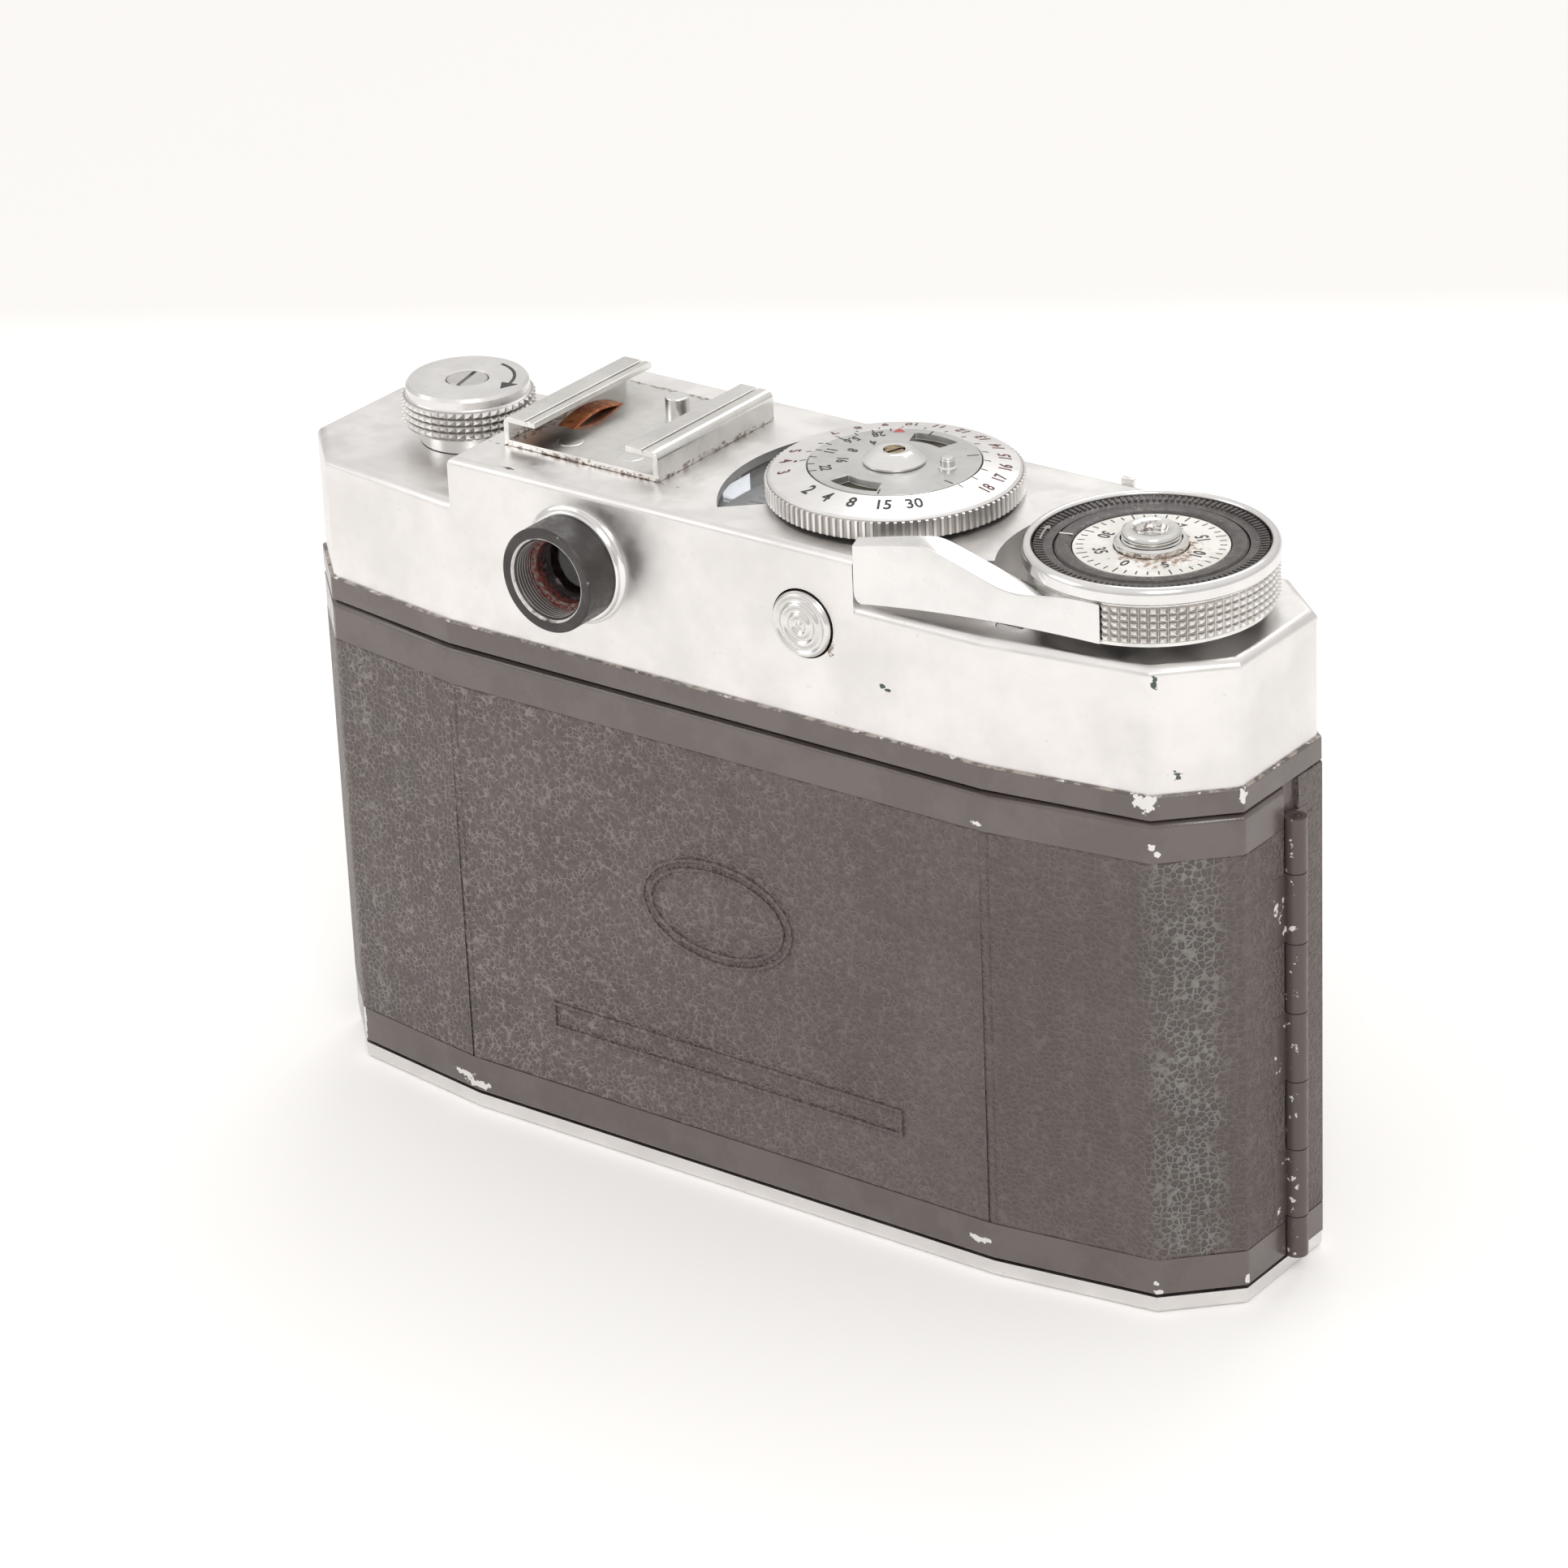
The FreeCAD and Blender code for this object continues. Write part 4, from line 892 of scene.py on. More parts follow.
def coated_glass(name, tint=(0.90, 0.93, 0.97), rough=0.02):
    """Clear coated glass with a little dust on it."""
    material, tree, surface = blank_material(name)
    surface.inputs["Transmission Weight"].default_value = 1.0
    surface.inputs["IOR"].default_value = 1.5
    surface.inputs["Metallic"].default_value = 0.0
    place = object_mm(tree)
    colour = blend_colour(tree, mottle(tree, place, 1.2, 0.62, 0.74), tint,
                          tuple(c * 0.82 for c in tint))
    shine = uneven(tree, place, rough, rough + 0.12, 0.8, 0.55, 0.75)
    coat(tree, surface, colour, shine)
    return material


thread = []
for i in range(THREADS):
    start = EYE_FACE + 0.45 + THREAD_PITCH * i
    thread += [(4.35, start + 0.22), (4.62, start + THREAD_PITCH)]
eye_profile = [(4.75, EYE_FACE + 0.08), (5.0, EYE_FACE), (5.8, EYE_FACE), (6.0, EYE_FACE + 0.2),
               (6.0, -18.2), (5.85, -17.85), (4.75, -17.85), (4.75, -14.0), (3.7, -14.0),
               (3.7, -19.25)]
eye_profile += list(reversed(thread)) + [(4.62, EYE_FACE + 0.35), (4.75, EYE_FACE + 0.08)]
eye_ring = turned("eyepiece_ring_turned", eye_profile, EYE, "Y")
smooth(eye_ring)
fit(eye_ring, anodised(), "root", "blackened_metal", "eyepiece_ring")

flange = turned("eyepiece_flange_turned",
                [(4.8, FLANGE_BACK - 1.0), (6.2, FLANGE_BACK - 1.0), (6.4, FLANGE_BACK - 0.85),
                 (6.4, FLANGE_BACK - 0.45), (6.75, FLANGE_BACK - 0.3), (6.85, FLANGE_BACK - 0.1),
                 (6.85, FLANGE_BACK), (4.8, FLANGE_BACK), (4.8, FLANGE_BACK - 1.0)], EYE, "Y")
soften(flange, 0.08)
fit(flange, bright_chrome, "root", "bright_chrome", "eyepiece_flange")

lens_glass = coated_glass("optical_glass")
smoky_glass = coated_glass("eyepiece_glass", (0.46, 0.42, 0.44), 0.08)
eye_lens = turned("eyepiece_lens_turned",
                  [(0.0, -18.5), (1.5, -18.44), (2.8, -18.28), (3.7, -18.05), (3.7, -16.4),
                   (0.0, -16.4)],
                  EYE, "Y", 64)
smooth(eye_lens)
fit(eye_lens, smoky_glass, "root", "optical_glass", "eyepiece_lens")


# ---------------------------------------------------------------------------
# Finder and rangefinder.
# Windows with bright frames on the front, a blackened sheet tube with a half
# mirror behind them, and a small turning mirror on a staff.
# ---------------------------------------------------------------------------
def matt_black():
    """Matt black paint inside the camera, slightly dusty."""
    material, tree, surface = blank_material("matt_black")
    place = object_mm(tree)
    colour = blend_colour(tree, mottle(tree, place, 0.4), (0.014, 0.014, 0.014), (0.026, 0.025, 0.024))
    coat(tree, surface, colour, uneven(tree, place, 0.55, 0.75, 1.5))
    bump(tree, surface, mottle(tree, place, 4.0), 0.2, 0.03)
    return material


black_inside = matt_black()
silvered = plated("half_silvered", (0.80, 0.78, 0.70), 0.06, 0.0, 0.02)
dress(black_inside, "finder_tube")
dress(silvered, "beam_splitter", "range_mirror")
dress(lens_glass, "finder_windows")
worked("window_bezels", 0.15, bright_chrome, "root", "bright_chrome")
bpy.ops.mesh.primitive_cube_add(size=MM, location=(0.0329, 0.01555, 0.0796), scale=(1.6, 0.5, 3.2))
lug = bpy.context.object
lug.name = "cell_frame_lug"
bpy.ops.object.transform_apply(location=True, rotation=True, scale=True)
pick(lug, "FACE", lambda centre, normal: normal.z > 0.9)
bpy.ops.mesh.inset(thickness=0.12 * MM, depth=0.1 * MM)
bpy.ops.object.mode_set(mode="OBJECT")
soften(lug, 0.08)
fit(lug, worn_chrome, "root", "bright_chrome")

# ---------------------------------------------------------------------------
# Rewind release button.
# A turned chrome button in the back of the cover with three grooves and a
# domed middle, on a brass guide.
# ---------------------------------------------------------------------------
BUTTON = (13.1, 0.0, 72.0)
BUTTON_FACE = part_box("rewind_release")[0].y / MM
BUTTON_R = 3.75
ripple = []
for i in range(37):
    r = BUTTON_R * 0.94 * i / 36
    dome = 0.22 * (r / BUTTON_R) ** 2
    ripple.append((r, BUTTON_FACE + 0.16 + dome - 0.16 * math.cos(2 * math.pi * r / 1.12)))
ripple += [(BUTTON_R - 0.05, BUTTON_FACE + 0.55), (BUTTON_R, BUTTON_FACE + 0.75),
           (BUTTON_R, -14.6), (0.0, -14.6)]
button = turned("rewind_release_turned", ripple, BUTTON, "Y", 72)
smooth(button, math.radians(60))
fit(button, worn_chrome, "rewind_release", "bright_chrome", "rewind_release")
dress(brass, "button_guide")

# ---------------------------------------------------------------------------
# Rewind knob.
# A turned and chromed knob with four rows of pyramid knurl under a plain
# satin cap, screwed to its shaft by a slotted stud, with a painted arrow.
# ---------------------------------------------------------------------------
REWIND = (-44.7, -0.6, 0.0)
KNOB_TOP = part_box("rewind_knob")[1].z / MM
KNURL_ROWS, KNURL_LOW, KNURL_ROW, KNURL_GROOVE = 4, 77.95, 0.70, 0.10
KNURL_R = 7.2


def angle_about(point, centre):
    """Direction of a point from a dial's centre, in degrees from -180 to 180."""
    return math.degrees(math.atan2(point.y - centre[1], point.x - centre[0]))


def knurl(piece, centre, rows, radius, peak, angles=(-180.0, 180.0)):
    """Raise a pyramid on each face of the given rows, (low, high) in height."""
    def in_rows(middle, normal):
        level = any(low < middle.z < high for low, high in rows)
        reach = math.hypot(middle.x - centre[0], middle.y - centre[1])
        return (level and abs(normal.z) < 0.3 and abs(reach - radius) < 0.12
                and angles[0] <= angle_about(middle, centre) <= angles[1])
    pick(piece, "FACE", in_rows)
    bpy.ops.mesh.poke(offset=peak * MM, use_relative_offset=False)
    bpy.ops.object.mode_set(mode="OBJECT")


knob_profile = [(2.4, 77.3), (6.2, 77.3), (7.0, 77.6), (KNURL_R, 77.75)]
knob_rows = []
for i in range(KNURL_ROWS):
    low = KNURL_LOW + (KNURL_ROW + KNURL_GROOVE) * i
    knob_rows.append((low, low + KNURL_ROW))
    knob_profile += [(KNURL_R - 0.12, low - 0.06), (KNURL_R, low), (KNURL_R, low + KNURL_ROW)]
knob_profile += [(KNURL_R - 0.2, 81.15), (6.95, 81.25), (6.95, KNOB_TOP - 0.35),
                 (6.65, KNOB_TOP), (2.55, KNOB_TOP), (2.4, KNOB_TOP - 0.15), (2.4, 77.3)]
knob = turned("rewind_knob_turned", knob_profile, REWIND, "Z", 46)
knurl(knob, REWIND, knob_rows, KNURL_R, 0.44)
smooth(knob, math.radians(24))
knob_chrome = plated("knob_chrome", (0.82, 0.81, 0.80), 0.26, 0.15,
                     valley=(REWIND, KNURL_R - 0.14, KNURL_R + 0.26))
fit(knob, knob_chrome, "rewind_knob", "satin_chrome", "rewind_knob")

shaft_below = bench_copy("rewind_shaft", "rewind_shaft_worked")
pick(shaft_below, "VERT", lambda p: True)
bpy.ops.mesh.bisect(plane_co=(0, 0, 77.0 * MM), plane_no=(0, 0, 1), clear_outer=True, use_fill=True)
bpy.ops.object.mode_set(mode="OBJECT")
soften(shaft_below, 0.1)
fit(shaft_below, steel, "rewind_knob", "steel", "rewind_shaft")


def slotted_head(name, centre, radius, low, top, slot, depth, slant):
    """A turned stud with a slot sawn across it; slant is the slot's direction."""
    head = turned(name, [(0.0, low), (radius, low), (radius, top - 0.12), (radius - 0.12, top),
                         (0.0, top)], centre, "Z", 56)
    across = Vector((-math.sin(math.radians(slant)), math.cos(math.radians(slant)), 0))
    middle = Vector((centre[0], centre[1], 0))
    for side in (-1, 1):
        pick(head, "VERT", lambda p: True)
        bpy.ops.mesh.bisect(plane_co=MM * (middle + across * side * slot / 2), plane_no=across)
    pick(head, "FACE", lambda c, n: n.z > 0.5 and abs(
        (Vector((c.x, c.y, 0)) - middle) @ across) < slot / 2)
    bpy.ops.mesh.extrude_region_move(TRANSFORM_OT_translate={"value": (0, 0, -depth * MM)})
    bpy.ops.object.mode_set(mode="OBJECT")
    smooth(head)
    return head


stud = slotted_head("rewind_stud", REWIND, 2.3, 76.9, KNOB_TOP - 0.02, 0.5, 0.45, 102.0)
fit(stud, steel, "rewind_knob", "steel")
dress(bright_chrome, "rewind_collar")


INK_ROUGHNESS = 0.5


def ink(name, colour):
    """Paint wiped into engraved figures, thin in places."""
    material, tree, surface = blank_material(name)
    place = object_mm(tree)
    paler = tuple(min(1.0, c + 0.10) for c in colour)
    tree.links.new(blend_colour(tree, mottle(tree, place, 2.0, 0.5, 0.75), colour, paler),
                   surface.inputs["Base Color"])
    surface.inputs["Roughness"].default_value = INK_ROUGHNESS
    return material


black_ink = ink("black_figures", (0.02, 0.018, 0.018))
red_ink = ink("red_figures", (0.42, 0.06, 0.05))


def on_dial(centre, radius, angle, top, tilt=0.0):
    """The place of a mark on a dial, its upper side towards the middle."""
    turn = math.radians(angle)
    spot = Vector((centre[0] + radius * math.cos(turn), centre[1] + radius * math.sin(turn), top))
    return (Matrix.Translation(MM * spot) @ Matrix.Rotation(turn + math.pi / 2, 4, "Z")
            @ Matrix.Rotation(math.radians(tilt), 4, "X"))


FIGURE_WIDTH = 0.82                  # narrow figures, as a share of the usual width


def figure(text, size, place):
    """One engraved number."""
    bpy.ops.object.text_add(location=(0, 0, 0))
    label = bpy.context.object
    label.data.body = text
    label.data.size = size * MM
    label.data.align_x = "CENTER"
    label.data.align_y = "CENTER"
    label.data.extrude = 0.015 * MM
    label.data.offset = 0.02 * size * MM
    label.data.resolution_u = 3
    bpy.ops.object.convert(target="MESH")
    label.data.transform(place @ Matrix.Diagonal((FIGURE_WIDTH, 1, 1, 1)))
    return label


def mark(width, length, place):
    """One engraved stroke."""
    bpy.ops.mesh.primitive_cube_add(size=MM, location=(0, 0, 0), scale=(width, length, 0.03))
    stroke = bpy.context.object
    bpy.ops.object.transform_apply(location=True, rotation=True, scale=True)
    stroke.data.transform(place)
    return stroke


def arrow(name, centre, radius, start, end, width, head, top):
    """A curved arrow, from a start angle clockwise to an end angle, on a dial."""
    count = 14
    turns = [math.radians(start + (end - start) * i / count) for i in range(count + 1)]

    def spot(r, turn):
        return (centre[0] + r * math.cos(turn), centre[1] + r * math.sin(turn), top)
    outer = [spot(radius + width / 2, t) for t in turns]
    inner = [spot(radius - width / 2, t) for t in reversed(turns)]
    ahead = turns[-1] - math.copysign(head / radius, start - end)
    point = [spot(radius + head * 0.55, turns[-1]), spot(radius, ahead),
             spot(radius - head * 0.55, turns[-1])]
    piece = outline_face(name, outer + point + inner)
    pull((0, 0, 0.03))
    return piece


rewind_arrow = arrow("rewind_arrow", REWIND, 5.3, 82, 12, 0.36, 1.8, KNOB_TOP - 0.005)
fit(rewind_arrow, black_ink, "rewind_knob", "blackened_metal")

# ---------------------------------------------------------------------------
# Exposure meter dial.
# A milled alloy ring with engraved times and light values turns round a grey
# film-speed disc, both held by a slotted chrome cone. The scale shows in a
# window in the deck beside them.
# ---------------------------------------------------------------------------
METER = (13.7, -0.3, 0.0)
RING_LOW, RING_PEAK = (c.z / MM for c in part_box("meter_ring"))
RING_TEETH, RING_WALL, RING_SHOULDER, DISC_R = 104, 13.65, 83.8, 9.3
ring_profile = [(2.08, RING_LOW), (RING_WALL - 0.3, RING_LOW), (RING_WALL, RING_LOW + 0.2),
                (RING_WALL, RING_SHOULDER - 0.3), (RING_WALL - 0.3, RING_SHOULDER),
                (DISC_R + 0.2, RING_PEAK), (DISC_R + 0.1, RING_PEAK - 0.1),
                (DISC_R + 0.1, 82.4), (2.08, 82.4), (2.08, RING_LOW)]


def mill(piece, centre, axis, radius, teeth, width, height, spread=0.3):
    """Raise a narrow tooth on every second face of a turned wall."""
    def every_second(middle, normal):
        a, b = (middle.x, middle.y) if axis == "Z" else (middle.x, middle.z)
        c, d = (centre[0], centre[1]) if axis == "Z" else (centre[0], centre[2])
        lengthways = normal.z if axis == "Z" else normal.y
        step = math.degrees(math.atan2(b - d, a - c)) / (180.0 / teeth)
        near = abs(math.hypot(a - c, b - d) - radius) < spread
        return near and abs(lengthways) < 0.2 and math.floor(step) % 2 == 0
    pick(piece, "FACE", every_second)
    bpy.ops.mesh.inset(thickness=width * MM, depth=height * MM, use_individual=True)
    bpy.ops.object.mode_set(mode="OBJECT")


ring = turned("meter_ring_turned", ring_profile, METER, "Z", RING_TEETH * 2)
mill(ring, METER, "Z", RING_WALL, RING_TEETH, 0.07, 0.28)
smooth(ring)
ring_alloy = plated("ring_alloy", (0.88, 0.87, 0.86), 0.34, 0.15, soot=0.08,
                    valley=(METER, RING_WALL - 0.08, RING_WALL + 0.20))
fit(ring, ring_alloy, "meter_ring", "satin_alloy", "meter_ring")

RING_SLOPE = math.degrees(math.atan2(RING_PEAK - RING_SHOULDER, RING_WALL - 0.3 - DISC_R - 0.2))


def ring_top(radius):
    """Height of the ring's sloping face at a radius."""
    share = (RING_WALL - 0.3 - radius) / (RING_WALL - 0.3 - DISC_R - 0.2)
    return RING_SHOULDER + (RING_PEAK - RING_SHOULDER) * share


def ring_place(radius, angle):
    return on_dial(METER, radius, angle, ring_top(radius) + 0.005, RING_SLOPE)


RING_TIMES = [("2", -110), ("4", -95), ("8", -79), ("15", -61), ("30", -44)]
RING_VALUES = [("18", 0), ("17", 14.5), ("16", 29), ("15", 43.5), ("14", 58), ("13", 72.5),
               ("12", 87), ("11", 101.5), ("10", 116), ("9", 130.5), ("8", 145), ("7", 159.5),
               ("5", -170), ("4", -156), ("3", -141)]
ring_black = [figure(text, 2.35, ring_place(11.05, angle)) for text, angle in RING_TIMES]
ring_black += [mark(0.14, 0.7, ring_place(9.9, -10 + 14.5 * i)) for i in range(16)]
ring_figures = joined(ring_black, "meter_ring_figures")
fit(ring_figures, black_ink, "meter_ring", "blackened_metal")
ring_red = [figure(text, 2.0, ring_place(11.9, angle)) for text, angle in RING_VALUES]
bpy.ops.mesh.primitive_cylinder_add(vertices=16, radius=0.22 * MM, depth=0.03 * MM)
red_dot = bpy.context.object
red_dot.data.transform(ring_place(10.7, -153))
ring_values = joined(ring_red + [red_dot], "meter_ring_values")
wine_ink = ink("wine_figures", (0.10, 0.022, 0.025))
fit(ring_values, wine_ink, "meter_ring", "blackened_metal")

disc_alloy = plated("disc_grey", (0.56, 0.555, 0.54), 0.40, 0.35, 0.05, soot=0.15)
old_brass = plated("old_brass", (0.36, 0.27, 0.17), 0.35, 0.2, soot=0.5)
sooty_brass = plated("sooty_brass", (0.085, 0.075, 0.055), 0.45, 0.2, soot=0.3)
disc = worked("meter_disc", 0.08, disc_alloy, "meter_disc", "dial_grey")
DISC_TOP = 84.7
DISC_INK = DISC_TOP + 0.005
disc.data.materials.append(sooty_brass)
for face in disc.data.polygons:
    face.material_index = 1 if face.normal.z > 0.9 and 83.5 < face.center.z / MM < 84.3 else 0
pin = turned("meter_disc_pin", [(0.0, 84.7), (1.0, 84.7), (1.0, 84.85), (0.8, 85.0), (0.8, 85.7),
                                (0.6, 85.95), (0.0, 86.0)], (METER[0] + 5.9, METER[1] + 1.4, 0), "Z", 32)
smooth(pin)
fit(pin, bright_chrome, "meter_disc", "dial_grey")
DISC_VALUES = [("28", 8.0, 138), ("4", 5.9, 148), ("5.6", 7.9, 161), ("8", 5.7, 178),
               ("11", 7.7, -171), ("16", 5.7, -153), ("22", 7.5, -135)]
disc_marks = [figure(text, 1.75, on_dial(METER, r, a, DISC_INK)) for text, r, a in DISC_VALUES]
disc_marks += [mark(0.14, 0.8, on_dial(METER, 8.9, 128 + 12.5 * i, DISC_INK)) for i in range(9)]
disc_marks += [mark(0.16, 1.3, on_dial(METER, 8.4, angle, DISC_INK))
               for angle in (-12, 42, -66, 98)]
disc_figures = joined(disc_marks, "meter_disc_figures")
fit(disc_figures, black_ink, "meter_disc", "blackened_metal")
bpy.ops.mesh.primitive_cylinder_add(vertices=3, radius=0.75 * MM, depth=0.04 * MM)
pointer = bpy.context.object
pointer.name = "meter_disc_pointer"
pointer.data.transform(on_dial(METER, 8.55, 122, DISC_TOP + 0.01) @ Matrix.Rotation(math.pi, 4, "Z"))
fit(pointer, red_ink, "meter_disc", "blackened_metal")

POST_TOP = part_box("meter_post")[1].z / MM
cone = turned("meter_cone", [(0.0, 84.72), (3.3, 84.72), (3.4, 84.82), (3.4, 85.02), (3.25, 85.14),
                             (1.95, POST_TOP + 0.1), (1.75, POST_TOP + 0.15),
                             (1.2, POST_TOP + 0.1), (1.15, POST_TOP - 0.45), (0.0, POST_TOP - 0.45)],
              METER, "Z", 72)
smooth(cone)
fit(cone, bright_chrome, "root", "bright_chrome", "meter_post")
screw_head = slotted_head("meter_cone_screw", METER, 1.1, POST_TOP - 0.6, POST_TOP - 0.05,
                          0.4, 0.3, 70.0)
fit(screw_head, old_brass, "root", "bright_chrome")
post_stem = turned("meter_stem", [(0.0, 78.4), (3.0, 78.4), (3.0, 79.8), (2.0, 79.8), (2.0, 84.75),
                                  (0.0, 84.75)], METER, "Z", 40)
soften(post_stem, 0.1)
fit(post_stem, steel, "root", "bright_chrome")


def white_enamel(name, dirt=()):
    """White dial enamel, slightly yellowed, dirty where given."""
    material, tree, surface = blank_material(name)
    place = object_mm(tree)
    colour = blend_colour(tree, mottle(tree, place, 0.25), (0.80, 0.785, 0.75), (0.70, 0.685, 0.65))
    colour = blend_colour(tree, mottle(tree, place, 2.6, 0.62, 0.72), colour, (0.52, 0.48, 0.44))
    if dirt:
        dirty = times(tree, patches(tree, place, dirt, 0.5),
                      mottle(tree, place, 1.5, 0.35, 0.6))
        colour = blend_colour(tree, dirty, colour, (0.30, 0.19, 0.12))
    coat(tree, surface, colour, uneven(tree, place, 0.35, 0.5, 0.5))
    bump(tree, surface, mottle(tree, place, 3.0), 0.15, 0.03)
    return material


dress(white_enamel("scale_enamel"), "meter_scale")
dress(lens_glass, "meter_glass", "meter_cell_window")
dress(black_inside, "meter_needle", "meter_movement")
dress(plated("selenium", (0.10, 0.085, 0.09), 0.35, 0.3), "meter_cell")
SCALE_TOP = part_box("meter_scale")[1].z / MM
scale_lines = [mark(0.18, 1.6 if i % 2 else 2.4, on_dial(METER, 17.6, 160 + 4 * i, SCALE_TOP + 0.01))
               for i in range(16)]
scale_marks = joined(scale_lines, "meter_scale_marks")
fit(scale_marks, black_ink, "root", "blackened_metal")

# ---------------------------------------------------------------------------
# Advance lever.
# A chromed cap with five rows of knurl and a strip arm standing on edge, on a
# tubular steel shaft. A bright rim closes the cap round the counter.
# ---------------------------------------------------------------------------
LEVER = (46.8, -1.2, 0.0)
CAP_LOW, CAP_TOP, CAP_R = 76.9, 81.6, 12.9
CAP_ROWS, CAP_TEETH = 5, 80
row_height = (CAP_TOP - 0.25 - CAP_LOW - 0.35) / CAP_ROWS
cap_profile = [(11.9, CAP_LOW), (CAP_R, CAP_LOW), (CAP_R, CAP_LOW + 0.35)]
cap_rows = []
for i in range(CAP_ROWS):
    low = CAP_LOW + 0.35 + row_height * i
    cap_rows.append((low, low + row_height))
    cap_profile.append((CAP_R, low + row_height))
cap_profile += [(CAP_R, CAP_TOP), (5.0, CAP_TOP), (5.0, CAP_TOP - 0.8), (11.9, CAP_TOP - 0.8),
                (11.9, CAP_LOW)]
cap = turned("lever_cap", cap_profile, LEVER, "Z", CAP_TEETH)
knurl(cap, LEVER, cap_rows, CAP_R, 0.52, (-83.0, 150.0))
smooth(cap, math.radians(24))
cap_chrome = plated("cap_chrome", (0.82, 0.81, 0.79), 0.18, 0.08, 0.04, soot=0.14,
                    valley=(LEVER, CAP_R + 0.01, CAP_R + 0.42))
fit(cap, cap_chrome, "advance_lever", "satin_chrome", "advance_lever")

shaft = turned("lever_shaft", [(4.0, 62.0), (8.0, 62.0), (8.0, 65.0), (5.0, 65.0), (5.0, CAP_TOP - 0.1),
                               (4.0, CAP_TOP - 0.1), (4.0, 62.0)], LEVER, "Z", 64)
soften(shaft, 0.15)
fit(shaft, steel, "advance_lever", "steel")


def quadratic(a, b, c, t):
    """A point on the curve from a to c that leaves and arrives towards b."""
    return tuple((1 - t) ** 2 * p + 2 * t * (1 - t) * q + t * t * r for p, q, r in zip(a, b, c))


ARM_NEAR = ((21.4, -18.9), (32.5, -14.7), (49.0, -14.25))
ARM_FAR = ((20.5, -16.6), (28.6, -12.7), (39.5, -11.6))
ARM_TOP = [(20.0, 83.45), (21.6, 83.5), (28.4, 84.25), (29.6, 84.0), (36.8, 80.9), (39.0, 80.45),
           (46.0, 81.35), (60.0, 81.5)]
ARM_STATIONS = 26


def arm_height(x):
    """Height of the arm's upper edge above the base at x."""
    for (x0, z0), (x1, z1) in zip(ARM_TOP, ARM_TOP[1:]):
        if x <= x1:
            return z0 + (z1 - z0) * (x - x0) / (x1 - x0)
    return ARM_TOP[-1][1]


bpy.ops.mesh.primitive_grid_add(x_subdivisions=ARM_STATIONS, y_subdivisions=1, size=2)
arm = bpy.context.object
arm.name = "lever_arm"
for vertex in arm.data.vertices:
    side = ARM_NEAR if vertex.co.y < 0 else ARM_FAR
    x, y = quadratic(*side, (vertex.co.x + 1) / 2)
    vertex.co = MM * Vector((x, y, CAP_LOW))
pull((0, 0, 4))
for vertex in arm.data.vertices:
    if vertex.co.z > (CAP_LOW + 1) * MM:
        vertex.co.z = arm_height(vertex.co.x / MM) * MM
round_edges(arm, 1.3, lambda a, b: max(a.x, b.x) < 21.6 and abs(a.z - b.z) < 0.01
            and (a - b).length > 1.5, 5)
soften(arm, 0.4, 4, math.radians(50))
fit(arm, lever_chrome, "advance_lever", "satin_chrome")

RIM_R, RIM_UP = 13.5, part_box("dial_rim")[1].z / MM
rim = turned("dial_rim_turned", [(12.35, CAP_TOP), (RIM_R - 0.3, CAP_TOP), (RIM_R, CAP_TOP + 0.25),
                                 (RIM_R, RIM_UP - 0.75), (RIM_R - 0.12, RIM_UP - 0.35),
                                 (RIM_R - 0.4, RIM_UP - 0.08), (RIM_R - 0.65, RIM_UP),
                                 (12.6, RIM_UP - 0.05), (12.4, RIM_UP - 0.3), (12.35, CAP_TOP)],
             LEVER, "Z", 128)
smooth(rim, math.radians(50))
fit(rim, bright_chrome, "advance_lever", "bright_chrome", "dial_rim")

# ---------------------------------------------------------------------------
# Counter.
# Inside the rim: a black reminder ring with a ribbed edge and an arrow, a
# black index ring, and the white frame counter.
# ---------------------------------------------------------------------------
def black_moulding():
    """Glossy black moulding with dust in its ribs."""
    material, tree, surface = blank_material("black_moulding")
    place = object_mm(tree)
    colour = blend_colour(tree, mottle(tree, place, 0.8), (0.045, 0.038, 0.036), (0.070, 0.061, 0.058))
    colour = blend_colour(tree, mottle(tree, place, 2.2, 0.60, 0.72), colour, (0.17, 0.155, 0.145))
    coat(tree, surface, colour, uneven(tree, place, 0.22, 0.38, 1.0))
    bump(tree, surface, mottle(tree, place, 3.0), 0.15, 0.03)
    return material


moulding = black_moulding()
REMINDER_TEETH = 110
reminder = turned("reminder_ring_turned",
                  [(10.25, 81.7), (12.25, 81.7), (12.25, 83.0), (11.2, 82.9), (10.9, 82.75),
                   (10.25, 82.8), (10.25, 81.7)], LEVER, "Z", REMINDER_TEETH * 2)


def rib(middle, normal):
    reach = math.hypot(middle.x - LEVER[0], middle.y - LEVER[1])
    step = math.floor(angle_about(middle, LEVER) / (180.0 / REMINDER_TEETH))
    return normal.z > 0.9 and 11.3 < reach < 12.2 and step % 2 == 0


pick(reminder, "FACE", rib)
bpy.ops.mesh.inset(thickness=0.04 * MM, depth=0.16 * MM, use_individual=True)
bpy.ops.object.mode_set(mode="OBJECT")
smooth(reminder)
fit(reminder, moulding, "reminder_ring", "black_plastic", "reminder_ring")
reminder_arrow = arrow("reminder_arrow", LEVER, 11.55, -152, -166, 0.22, 0.9, 83.12)
fit(reminder_arrow, ink("grey_figures", (0.30, 0.28, 0.26)), "reminder_ring", "black_plastic")

